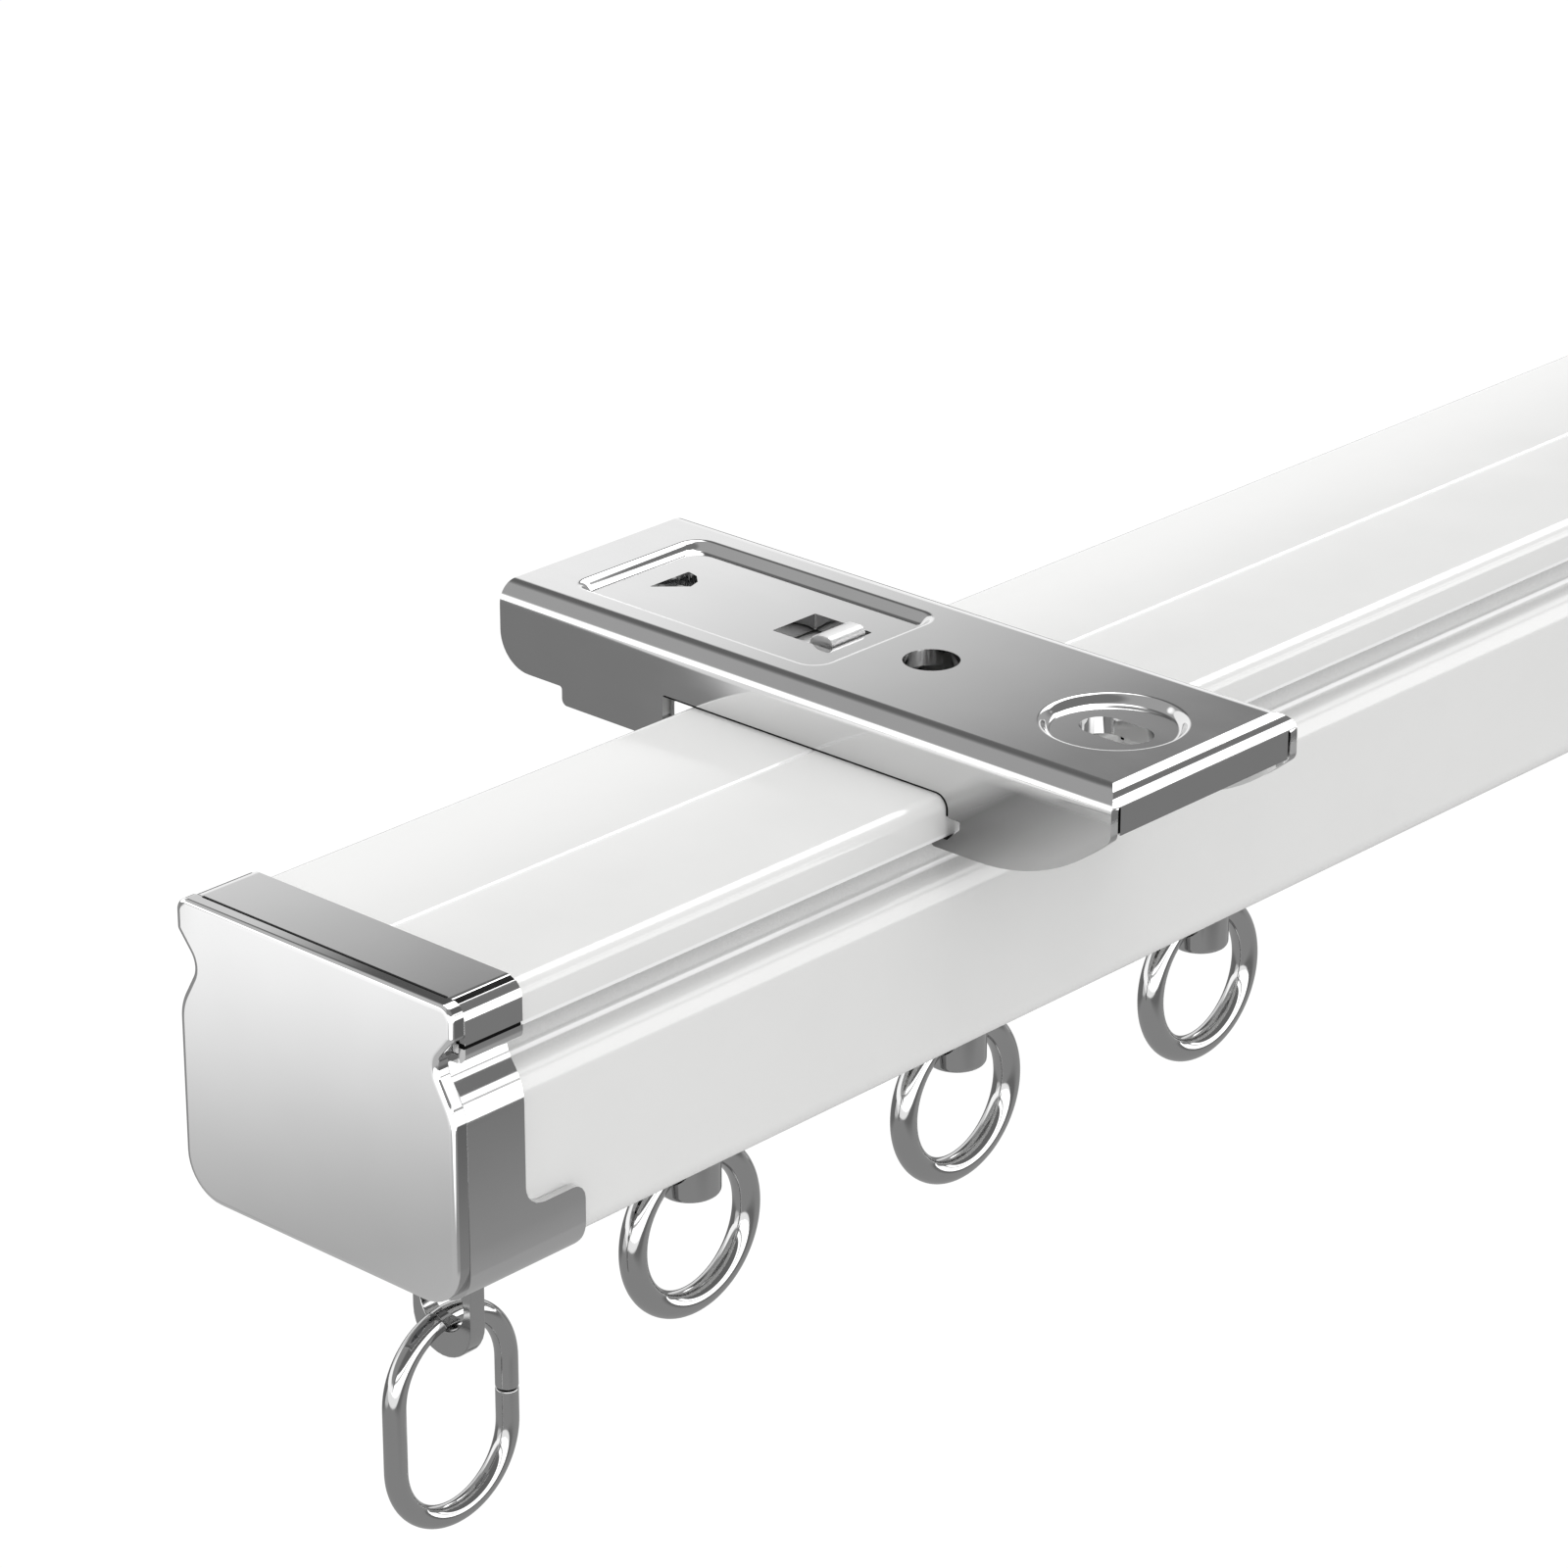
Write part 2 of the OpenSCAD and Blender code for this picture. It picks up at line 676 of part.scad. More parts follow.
// The slotted screw hole, long across the rail
module slot_hole() {
    gap = slot_hole_len - slot_hole_w;
    for (end = [-1, 1])
        translate([0, end * gap / 2, 0]) cylinder(d = slot_hole_w, h = bracket_h + through);
    block([-slot_hole_w / 2, -gap / 2, 0], [slot_hole_w / 2, gap / 2, bracket_h + through]);
}

// The small arrow-shaped hole that shows which way the catch opens
module arrow_hole() {
    linear_extrude(bracket_h + through)
        polygon([[0.1, -0.15], [0.95, 0.1], [1.6, 0.8], [1.8, 1.65], [-1.6, 1.65]]);
}

// The sprung catch under the bracket's top: plate, jaw, spring ear and tab
module bracket_catch(side) {
    plate_end = ear_y + ear_t;
    jaw_tip = half_w - jaw_reach;
    color("gainsboro") hang() translate([side * bracket_x, 0, 0]) union() {
        block([-catch_half_w, tab_y - 1.2, catch_bottom], [catch_half_w, plate_end, catch_top]);
        // The jaw, with the slope that the rail's head pushes aside
        along_x(-jaw_half_w, jaw_half_w) polygon(rounded([
            [jaw_y, catch_bottom + 0.2, 0],
            [jaw_y, waist_top - 0.12, 0],
            [jaw_tip, waist_top - 0.12, 0.1],
            [jaw_tip, waist_top - 0.5, 0.15],
            [jaw_y + 0.2, waist_top - 1.3, 0.2],
            [jaw_y + 1, waist_top - 1.3, 0.3],
            [jaw_y + 1, catch_bottom + 0.2, 0]
        ]));
        block([-2.2, ear_y, -2.2], [2.2, plate_end, catch_bottom + 0.1]);
        // The peg that holds the end of the spring
        translate([0, plate_end - 0.1, spring_z]) rotate([-90, 0, 0])
            cylinder(d = spring_d - 2 * spring_wire - 0.5, h = 1.6);
        // The rounded tab that shows in the window
        along_x(-window_w / 2 + 0.4, window_w / 2 - 0.4) polygon(rounded([
            [tab_y, catch_top - 0.5, 0],
            [tab_y + tab_len, catch_top - 0.5, 0],
            [tab_y + tab_len, bracket_h - 0.03, 0.8],
            [tab_y, bracket_h - 0.03, 0.45]
        ]));
    }
}

// The spring's wire path and tube
spring_sides = 6;
curl_rings = 8;
spring_r = (spring_d - spring_wire) / 2;
spring_start = ear_y + ear_t + spring_wire / 2 + 0.1;
spring_len = seat_y - spring_wire / 2 - 0.1 - spring_start;
spring_rings = spring_turns * curl_rings;
spring_rise = spring_len / spring_rings;
spring_gap = spring_len / spring_turns - spring_wire;
echo(spring_gap_between_turns = spring_gap);

// The middle of ring k of the spring's wire: a helix about Y
function coil_middle(k) =
    let (a = 360 * k / curl_rings)
    [spring_r * cos(a), spring_start + spring_rise * k, spring_z + spring_r * sin(a)];

// Point j of ring k: a circle of the wire in the plane of the helix's radius and Y
function coil_point(k, j) =
    let (
        a = 360 * k / curl_rings,
        b = 360 * j / spring_sides,
        out = spring_wire / 2 * cos(b)
    )
    coil_middle(k) + [out * cos(a), spring_wire / 2 * sin(b), out * sin(a)];

// The compression spring between the catch's ear and the bracket's seat
module catch_spring(side) {
    n = spring_sides;
    points = [for (k = [0 : spring_rings], j = [0 : n - 1]) coil_point(k, j)];
    walls = [for (k = [0 : spring_rings - 1], j = [0 : n - 1])
        let (a = k * n + j, b = k * n + (j + 1) % n)
        each [[a, a + n, b], [b, a + n, b + n]]];
    first = [for (j = [1 : n - 2]) [0, j, j + 1]];
    last_ring = spring_rings * n;
    last = [for (j = [1 : n - 2]) [last_ring, last_ring + j + 1, last_ring + j]];
    color("dimgray") hang() translate([side * bracket_x, 0, 0])
        polyhedron(points, concat(walls, first, last));
}

rail();
end_cap(-1);  // end_cap_left
end_cap(1);  // end_cap_right
stop_block(-1);  // stop_block_left
stop_block(1);  // stop_block_right
clamp_screw(-1);  // clamp_screw_left
clamp_screw(1);  // clamp_screw_right
end_link(-1);  // end_link_left
end_link(1);  // end_link_right
bracket_body(-1);  // bracket_body_left
bracket_body(1);  // bracket_body_right
bracket_catch(-1);  // bracket_catch_left
bracket_catch(1);  // bracket_catch_right
catch_spring(-1);  // catch_spring_left
catch_spring(1);  // catch_spring_right
carriage(0);  // runner_1_carriage
axle(0);  // runner_1_axle
wheel(0, -1);  // runner_1_wheel_front
wheel(0, 1);  // runner_1_wheel_back
stem(0);  // runner_1_stem
ring(0);  // runner_1_ring
carriage(1);  // runner_2_carriage
axle(1);  // runner_2_axle
wheel(1, -1);  // runner_2_wheel_front
wheel(1, 1);  // runner_2_wheel_back
stem(1);  // runner_2_stem
ring(1);  // runner_2_ring
carriage(2);  // runner_3_carriage
axle(2);  // runner_3_axle
wheel(2, -1);  // runner_3_wheel_front
wheel(2, 1);  // runner_3_wheel_back
stem(2);  // runner_3_stem
ring(2);  // runner_3_ring
carriage(3);  // runner_4_carriage
axle(3);  // runner_4_axle
wheel(3, -1);  // runner_4_wheel_front
wheel(3, 1);  // runner_4_wheel_back
stem(3);  // runner_4_stem
ring(3);  // runner_4_ring
carriage(4);  // runner_5_carriage
axle(4);  // runner_5_axle
wheel(4, -1);  // runner_5_wheel_front
wheel(4, 1);  // runner_5_wheel_back
stem(4);  // runner_5_stem
ring(4);  // runner_5_ring
carriage(5);  // runner_6_carriage
axle(5);  // runner_6_axle
wheel(5, -1);  // runner_6_wheel_front
wheel(5, 1);  // runner_6_wheel_back
stem(5);  // runner_6_stem
ring(5);  // runner_6_ring
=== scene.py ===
"""Ceiling curtain track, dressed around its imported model, as an add-on that also runs as a script."""

import math

import bmesh
import bpy
import numpy as np
from bpy.props import FloatProperty, FloatVectorProperty, PointerProperty
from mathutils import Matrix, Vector
from mathutils.geometry import delaunay_2d_cdt


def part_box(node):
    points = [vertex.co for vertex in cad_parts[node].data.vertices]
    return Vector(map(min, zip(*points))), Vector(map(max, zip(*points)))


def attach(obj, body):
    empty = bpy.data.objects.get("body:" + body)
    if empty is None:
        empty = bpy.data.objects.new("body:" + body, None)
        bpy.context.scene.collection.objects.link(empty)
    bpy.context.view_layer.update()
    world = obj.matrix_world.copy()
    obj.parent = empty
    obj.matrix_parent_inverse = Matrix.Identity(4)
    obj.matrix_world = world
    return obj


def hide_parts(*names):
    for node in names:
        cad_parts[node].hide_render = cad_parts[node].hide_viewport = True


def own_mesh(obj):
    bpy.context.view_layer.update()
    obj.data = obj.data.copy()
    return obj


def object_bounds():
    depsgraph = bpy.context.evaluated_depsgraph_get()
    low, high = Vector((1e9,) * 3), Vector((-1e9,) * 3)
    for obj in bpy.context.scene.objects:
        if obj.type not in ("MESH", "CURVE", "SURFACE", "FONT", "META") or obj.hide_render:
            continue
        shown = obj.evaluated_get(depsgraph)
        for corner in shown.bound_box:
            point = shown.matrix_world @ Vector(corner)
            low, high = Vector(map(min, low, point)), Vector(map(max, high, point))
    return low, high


bl_info = {
    "name": "Ceiling Curtain Track",
    "version": (1, 0, 0),
    "blender": (4, 5, 0),
    "location": "3D View > Sidebar > Curtain Track",
    "description": "Dresses a short ceiling curtain track with its brackets, caps, runners and rings",
    "category": "Object",
}

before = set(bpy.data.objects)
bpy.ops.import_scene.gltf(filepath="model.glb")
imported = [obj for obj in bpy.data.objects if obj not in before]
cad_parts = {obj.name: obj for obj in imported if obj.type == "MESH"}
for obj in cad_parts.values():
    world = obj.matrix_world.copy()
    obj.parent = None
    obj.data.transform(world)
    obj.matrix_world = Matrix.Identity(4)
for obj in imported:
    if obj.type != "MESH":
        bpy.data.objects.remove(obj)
CAD_BOX = [list(corner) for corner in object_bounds()]

MM = 0.001
SIDES = (("left", -1), ("right", 1))
RUNNERS = range(1, 7)

# The middle of the rail's top in the row frame, in millimetres. The outlines below are measured from it
RAIL_TOP = np.array([0.0, 1.75, -3.6])
HALF_TRACK = 150.0
RAIL_HALF, RAIL_HEIGHT = 10.0, 16.6
HEAD_ROUND, HEAD_BOTTOM = 0.8, -2.5
BRACKET_X = 103.1
WHITE = (1, 1, 1, 1)


def linear(code):
    """An sRGB hex colour as linear red, green and blue, and an alpha of one."""
    part = np.array([int(code[i:i + 2], 16) for i in (1, 3, 5)]) / 255
    low, high = part / 12.92, ((part + 0.055) / 1.055) ** 2.4
    return (*np.where(part <= 0.04045, low, high).tolist(), 1.0)


# Outlines in a plane

def unit(v):
    """Each row of v divided by its length."""
    return v / np.linalg.norm(v, axis=-1, keepdims=True)


def pairs(x, y):
    """Points (x, y) in a plane; either can be one number for all of them."""
    return np.stack(np.broadcast_arrays(x, y), -1)


def around(a, r, x=0.0, y=0.0):
    """Points at angles a and distance r from (x, y)."""
    return pairs(x + r * np.cos(a), y + r * np.sin(a))


def circle(n):
    """n angles round a full circle, without the last one."""
    return np.linspace(0, 2 * math.pi, n, endpoint=False)


def angles(start, end, count=9):
    """Angles in radians from start to end degrees."""
    return np.radians(np.linspace(start, end, count))


def rounded(corners, steps=8):
    """A closed outline through corners (x, y, r): each becomes an arc of radius r that touches both edges.

    The arc's middle lies on the corner's bisector, r / sin(half the corner's angle) away from it."""
    c = np.asarray(corners, float)
    at, r = c[:, :2], c[:, 2:]
    u, v = unit(np.roll(at, 1, 0) - at), unit(np.roll(at, -1, 0) - at)
    half = np.arccos(np.clip((u * v).sum(1, keepdims=True), -1, 1)) / 2
    middle = at + unit(u + v) * r / np.sin(half)
    p, q = at + u * r / np.tan(half) - middle, at + v * r / np.tan(half) - middle
    turn = (math.pi - 2 * half[:, 0]) * np.sign(p[:, 0] * q[:, 1] - p[:, 1] * q[:, 0])
    t = turn[:, None] * np.linspace(0, 1, steps + 1)
    x = p[:, :1] * np.cos(t) - p[:, 1:] * np.sin(t)
    y = p[:, :1] * np.sin(t) + p[:, 1:] * np.cos(t)
    return (pairs(x, y) + middle[:, None]).reshape(-1, 2)


def inset(corners, d):
    """A counter-clockwise outline of corners moved inwards by d: outer radii shrink and inner ones grow."""
    c = np.asarray(corners, float)
    at = c[:, :2]
    e, f = unit(at - np.roll(at, 1, 0)), unit(np.roll(at, -1, 0) - at)
    m, n = pairs(-e[:, 1], e[:, 0]), pairs(-f[:, 1], f[:, 0])
    moved = at + (m + n) * d / (1 + (m * n).sum(1, keepdims=True))
    turn = np.sign(e[:, 0] * f[:, 1] - e[:, 1] * f[:, 0])
    return np.column_stack([moved, np.maximum(c[:, 2] - d * turn, 0)])


def both_sides(half):
    """The right half of an outline of corners, joined to its mirror image."""
    half = np.asarray(half, float)
    return np.vstack([half, half[::-1] * [-1, 1, 1]])


def box_corners(x0, y0, x1, y1, r):
    """A counter-clockwise rectangle of corners with radius r."""
    return [(x0, y0, r), (x1, y0, r), (x1, y1, r), (x0, y1, r)]


def distinct(points, least=1e-4):
    """A closed outline without the points that repeat their forerunner."""
    gap = np.linalg.norm(points - np.roll(points, 1, 0), axis=1)
    return points[gap > least]


# Meshes

class Shape:
    """Vertices and faces gathered from several surfaces into one piece, in millimetres."""

    def __init__(self):
        self.points, self.faces, self.count = [], [], 0

    def put(self, points, faces):
        """Adds one surface, whose faces count its own points."""
        self.points.append(np.asarray(points, float).reshape(-1, 3))
        self.faces += [tuple(int(i) + self.count for i in face) for face in faces]
        self.count += len(self.points[-1])

    def grid(self, points, closed_rows=False, closed_columns=False, lids=False):
        """Adds a grid of points (rows, columns, 3) as four-sided faces; lids close its first and last row."""
        rows, columns = points.shape[:2]
        i = np.arange(rows if closed_rows else rows - 1)[:, None]
        j = np.arange(columns if closed_columns else columns - 1)[None, :]
        i2, j2 = (i + 1) % rows, (j + 1) % columns
        faces = np.stack(
            [i * columns + j, i * columns + j2, i2 * columns + j2, i2 * columns + j], -1
        ).reshape(-1, 4).tolist()
        if lids:
            faces.append(list(range(columns))[::-1])
            faces.append(list(range((rows - 1) * columns, rows * columns)))
        self.put(points, faces)

    def piece(self, name, body, slot, coat, nodes, sharp, bevel=0.0, mirror=False):
        """Makes the gathered surfaces one smooth piece that rides on a body and stands for its nodes."""
        points = np.vstack(self.points)
        if mirror:
            points = points * [-1, 1, 1]
        mesh = bpy.data.meshes.new(name)
        mesh.from_pydata((points * MM).tolist(), [], self.faces)
        welded = bmesh.new()
        welded.from_mesh(mesh)
        bmesh.ops.remove_doubles(welded, verts=welded.verts, dist=2e-7)
        bmesh.ops.dissolve_degenerate(welded, edges=welded.edges, dist=1e-7)
        bmesh.ops.recalc_face_normals(welded, faces=welded.faces)
        welded.to_mesh(mesh)
        welded.free()
        dress(bpy.data.objects.new(name, mesh), body, coat, nodes, sharp, bevel)


def dress(obj, body, coat, nodes, sharp, bevel):
    """Links a piece, smooths it, rounds its edges past an angle, coats it and hands it to the frame."""
    bpy.context.scene.collection.objects.link(obj)
    obj.data.shade_smooth()
    if bevel:
        rounding = obj.modifiers.new("edges", "BEVEL")
        rounding.width, rounding.segments = bevel * MM, 2
        rounding.limit_method, rounding.angle_limit = "ANGLE", math.radians(sharp)
        rounding.harden_normals = True
    else:
        obj.data.set_sharp_from_angle(angle=math.radians(sharp))
    obj.data.materials.clear()
    obj.data.materials.append(finish(coat))
    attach(obj, body)
    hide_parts(*nodes)
    return obj


def rounded_copy(node, body, coat, sharp, bevel):
    """A merged copy of a CAD node whose sharp edges are rounded by a bevel."""
    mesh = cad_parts[node].data.copy()
    merged = bmesh.new()
    merged.from_mesh(mesh)
    bmesh.ops.remove_doubles(merged, verts=merged.verts, dist=1e-7)
    bmesh.ops.dissolve_limit(
        merged, angle_limit=math.radians(1), verts=merged.verts, edges=merged.edges,
        delimit={"NORMAL"},
    )
    merged.to_mesh(mesh)
    merged.free()
    if "custom_normal" in mesh.attributes:
        mesh.attributes.remove(mesh.attributes["custom_normal"])
    piece = bpy.data.objects.new(node + "_rounded", mesh)
    return dress(piece, body, coat, [node], sharp, bevel)


def inside(points, loop):
    """Which points lie inside a closed outline: a ray along x from them crosses it an odd number of times."""
    a, b, p = loop[None], np.roll(loop, -1, 0)[None], points[:, None]
    spans = (a[..., 1] > p[..., 1]) != (b[..., 1] > p[..., 1])
    rise = np.where(spans, b[..., 1] - a[..., 1], 1)
    x = a[..., 0] + (p[..., 1] - a[..., 1]) * (b[..., 0] - a[..., 0]) / rise
    return (spans & (p[..., 0] < x)).sum(1) % 2 == 1


def triangulated(loops, chains=()):
    """Triangles of a flat region: the first loop bounds it, the next ones are its holes.

    chains are open lines that the triangles' edges follow."""
    edges, start = [], 0
    for line, closed in [(loop, 1) for loop in loops] + [(chain, 0) for chain in chains]:
        i = np.arange(len(line) - 1 + closed)
        edges += (start + pairs(i, (i + 1) % len(line))).tolist()
        start += len(line)
    flat = [Vector(p) for p in np.vstack([*loops, *chains]).tolist()]
    enclosed = 1
    found = delaunay_2d_cdt(flat, edges, [], enclosed, 1e-6)
    corners, triangles = np.array([tuple(v) for v in found[0]]), np.array([tuple(f) for f in found[2]])
    middles = corners[triangles].mean(1)
    solid = inside(middles, loops[0])
    for hole in loops[1:]:
        solid &= ~inside(middles, hole)
    return corners, triangles[solid]


def border(triangles):
    """The directed edges that only one triangle has."""
    directed = np.vstack([triangles[:, [0, 1]], triangles[:, [1, 2]], triangles[:, [2, 0]]])
    known = {(int(a), int(b)) for a, b in directed}
    return [(a, b) for a, b in sorted(known) if (b, a) not in known]


def on_rail(x, y, z):
    """Points measured from the middle of the rail's top, as rows in the row frame."""
    x, y, z = np.broadcast_arrays(x, y, z)
    return np.stack([x, y, z], -1).astype(float) + RAIL_TOP


def strip(shape, inner, outer, start, end):
    """A thin wall between an inner and an outer line, seen along X, from X start to X end.

    start and end can hold a number for each point of the outer line, and then of the inner line backwards."""
    m = len(inner)
    loop = np.vstack([outer, inner[::-1]])
    points = np.stack([on_rail(x, loop[:, 0], loop[:, 1]) for x in (start, end)])
    shape.grid(points, closed_columns=True)
    k = np.arange(m - 1)
    for side in points:
        shape.put(side, np.stack([k, k + 1, 2 * m - 2 - k, 2 * m - 1 - k], -1))


def block(shape, one, other):
    """A closed box between two opposite corners."""
    (x0, y0, z0), (x1, y1, z1) = np.sort([one, other], axis=0)
    ring = np.array([(x0, y0), (x1, y0), (x1, y1), (x0, y1)])
    shape.grid(np.array([[(x, y, z) for x, y in ring] for z in (z0, z1)]) + RAIL_TOP,
               closed_columns=True, lids=True)


# Sizes

class RailSizes(bpy.types.PropertyGroup):
    """The rail's section and its white coat."""

    width: FloatProperty(
        name="Width", description="Width over the rail's head and its sides",
        default=2 * RAIL_HALF * MM, min=0.015, max=0.03, unit="LENGTH")
    height: FloatProperty(
        name="Height", description="Height of the rail",
        default=RAIL_HEIGHT * MM, min=0.012, max=0.03, unit="LENGTH")
    wall: FloatProperty(
        name="Wall", description="Thickness of the rolled wall",
        default=0.95 * MM, min=0.0005, max=0.002, unit="LENGTH")
    coat: FloatVectorProperty(
        name="Coat", description="Colour of the powder coat",
        default=linear("#F1F1F0"), size=4, min=0, max=1, subtype="COLOR")


class PlatingSizes(bpy.types.PropertyGroup):
    """The plated sheet of the caps and brackets."""

    tone: FloatVectorProperty(
        name="Plating", description="Colour of the bright plating",
        default=linear("#D3D3D3"), size=4, min=0, max=1, subtype="COLOR")
    rim: FloatProperty(
        name="Pressed rim", description="Width of the slope round a pressed panel",
        default=0.85 * MM, min=0.0004, max=0.002, unit="LENGTH")


class WireSizes(bpy.types.PropertyGroup):
    """The rings, links and springs."""

    ring_wire: FloatProperty(
        name="Ring wire", description="Diameter of a ring's wire",
        default=1.64 * MM, min=0.001, max=0.002, unit="LENGTH")
    link_wire: FloatProperty(
        name="Link wire", description="Diameter of a link's wire",
        default=1.34 * MM, min=0.001, max=0.002, unit="LENGTH")
    tone: FloatVectorProperty(
        name="Wire", description="Colour of the polished wire",
        default=linear("#B4B4B4"), size=4, min=0, max=1, subtype="COLOR")


class StageSizes(bpy.types.PropertyGroup):
    """The floor and the light."""

    drop: FloatProperty(
        name="Floor drop", description="Clear height from the floor to the track",
        default=40.0 * MM, min=0, max=1, unit="LENGTH")
    sky: FloatProperty(
        name="Soft light", description="Strength of the light from all round",
        default=0.90, min=0, max=3)
    paper: FloatVectorProperty(
        name="Floor", description="Colour of the pale floor",
        default=linear("#E6E6E6"), size=4, min=0, max=1, subtype="COLOR")


# Materials

# Painted highlights, white lines on the rail: height, half the line's height, its place beside the middle and
# half its width
PAINTED_HIGHLIGHTS = ((-2.37, 0.11, 10.0, 0.7), (-4.38, 0.07, 8.9, 0.45))
SOFT_EDGE = 0.08
# How near a wall has to be to shade a hollow, and the shares of open space between which the shade fades
HOLLOW_REACH, HOLLOW_OPEN = 3.0, (0.66, 0.92)
# Where the painted shade on a cap's sides fades out, from the cap's front
SIDE_SHADE_FADE = (-0.28, -0.2)
# The tone of the faint clouds in a plating, and of the dust on a coat
CLOUD, DUST = 0.96, 0.985
# The lobe on a bracket's flanges, rougher and with painted shade: slant points across a streak that rises
# from the head's lower edge. edge and lobe_shade are ranges along it from the rail's top, shade_depths holds
# the painted shade's strength at either end of lobe_shade, bend is one of heights, skin a flange's outer part
LOBE = dict(slant=(0, 0.576, 0.817), edge=(-7.4, -5.4), lobe_shade=(-11.5, -7.4), shade_depths=(0.25, 0.92),
            bend=(-1.9, -1.2), skin=0.7)


def add(tree, kind, settings=None, inputs=None):
    """Adds one shader node: settings are its own properties, and each input is a socket or a value."""
    node = tree.nodes.new("ShaderNode" + kind)
    for name, value in (settings or {}).items():
        setattr(node, name, value)
    for name, value in (inputs or {}).items():
        socket = node.inputs[name]
        if isinstance(value, bpy.types.NodeSocket):
            tree.links.new(value, socket)
        else:
            socket.default_value = value
    return node


def new_material(name):
    """An empty node material, with its tree."""
    material = bpy.data.materials.new(name)
    material.use_nodes = True
    material.node_tree.nodes.clear()
    return material, material.node_tree


def stretched_noise(tree, lengths, detail):
    """Noise on Object coordinates whose grains have these lengths in millimetres along X, Y and Z."""
    scale = tuple(1 / (length * MM) for length in lengths)
    mapped = add(tree, "Mapping", {"vector_type": "POINT"}, {
        "Vector": add(tree, "TexCoord").outputs["Object"], "Scale": scale})
    return add(tree, "TexNoise", None, {
        "Vector": mapped.outputs["Vector"], "Scale": 1.0, "Detail": detail, "Roughness": 0.55}).outputs["Fac"]


def spread(tree, value, low, high, source=(0.3, 0.7), blend="LINEAR"):
    """A value carried from its source range onto low to high, and held at either end."""
    return add(tree, "MapRange", {"interpolation_type": blend}, {
        "Value": value, "From Min": source[0], "From Max": source[1],
        "To Min": low, "To Max": high}).outputs["Result"]


def step(tree, place, direction, source, low, high, blend="SMOOTHSTEP"):
    """A value that goes from low to high as the place crosses the source range along a direction."""
    along = add(tree, "VectorMath", {"operation": "DOT_PRODUCT"}, {0: place, 1: direction})
    return spread(tree, along.outputs["Value"], low, high, source, blend)


def gathered(tree, operation, *values):
    """Values put together one after another by the same operation."""
    so_far = values[0]
    for value in values[1:]:
        so_far = add(tree, "Math", {"operation": operation}, {0: so_far, 1: value}).outputs[0]
    return so_far


def layered(tree, ground, layers):
    """A ground colour under layers of (strength, colour), the lowest first."""
    # The node's sockets 6 and 7 are its two colours
    for strength, colour in layers:
        mixed = add(tree, "Mix", {"data_type": "RGBA"}, {"Factor": strength, 6: ground, 7: colour})
        ground = mixed.outputs[2]
    return ground


def off_middle(tree, axis, middle=0.0):
    """How far the surface lies from a middle (in millimetres) along one axis, either way, in metres."""
    where = add(tree, "SeparateXYZ", None, {0: add(tree, "TexCoord").outputs["Object"]})
    apart = gathered(tree, "SUBTRACT", where.outputs[axis], middle * MM)
    return add(tree, "Math", {"operation": "ABSOLUTE"}, {0: apart}).outputs[0]


def metres(values, start=0.0):
    """Millimetres from a start, as metres."""
    return [(start + value) * MM for value in values]


def plated_metal(name, tone, rough, grain, depth, haze=0.03, sides=None, satin=0.0):
    """A plated metal: a mirror-like colour whose gloss varies with drawn grain and faint clouds.

    sides is a darker colour painted as shade on the sides behind a cap's front. satin is how much rougher the
    lobe on a bracket's flanges is, below the bends and beyond the rail's side; painted shade darkens that
    lobe too."""
    material, tree = new_material(name)
    lines, clouds = stretched_noise(tree, grain, 4.0), stretched_noise(tree, (9, 9, 9), 2.0)
    gloss = gathered(tree, "ADD", spread(tree, lines, rough - haze, rough + haze),
                     spread(tree, clouds, -haze / 2, haze / 2))
    bump = add(tree, "Bump", None, {"Height": lines, "Strength": 0.25, "Distance": depth * MM})
    layers = [(spread(tree, clouds, 0.0, 1.0), tuple(tone))]
    # Painted shade: the sides behind a cap's front turn to the darker colour sides
    if sides:
        layers.append((spread(tree, off_middle(tree, "X"), 1.0, 0.0, metres(SIDE_SHADE_FADE, HALF_TRACK)), sides))
    if satin:
        place = add(tree, "TexCoord").outputs["Object"]
        top = float(np.dot(LOBE["slant"], RAIL_TOP))
        beyond = step(tree, place, LOBE["slant"], metres(LOBE["edge"], top), 1.0, 0.0, "LINEAR")
        below = step(tree, place, (0, 0, 1), metres(LOBE["bend"]), 1.0, 0.0, "LINEAR")
        within = add(tree, "Math", {"operation": "COMPARE"}, {
            0: off_middle(tree, "X"), 1: BRACKET_X * MM, 2: (BRACKET["half_w"] - LOBE["skin"]) * MM})
        lobe = gathered(tree, "MULTIPLY", beyond, below, gathered(tree, "SUBTRACT", 1.0, within.outputs[0]))
        # Painted shade: the lobe darkens towards #747474, most at the streak and least farthest from it
        lobe_shade = step(tree, place, LOBE["slant"], metres(LOBE["lobe_shade"], top), *LOBE["shade_depths"], "LINEAR")
        layers.append((gathered(tree, "MULTIPLY", lobe, lobe_shade), linear("#747474")))
        gloss = gathered(tree, "ADD", gloss, gathered(tree, "MULTIPLY", lobe, satin))
    surface = add(tree, "BsdfPrincipled", None, {
        "Base Color": layered(tree, (*(c * CLOUD for c in tone[:3]), 1), layers),
        "Metallic": 1.0, "Roughness": gloss, "Normal": bump.outputs["Normal"]})
    add(tree, "OutputMaterial", None, {"Surface": surface.outputs["BSDF"]})
    return material


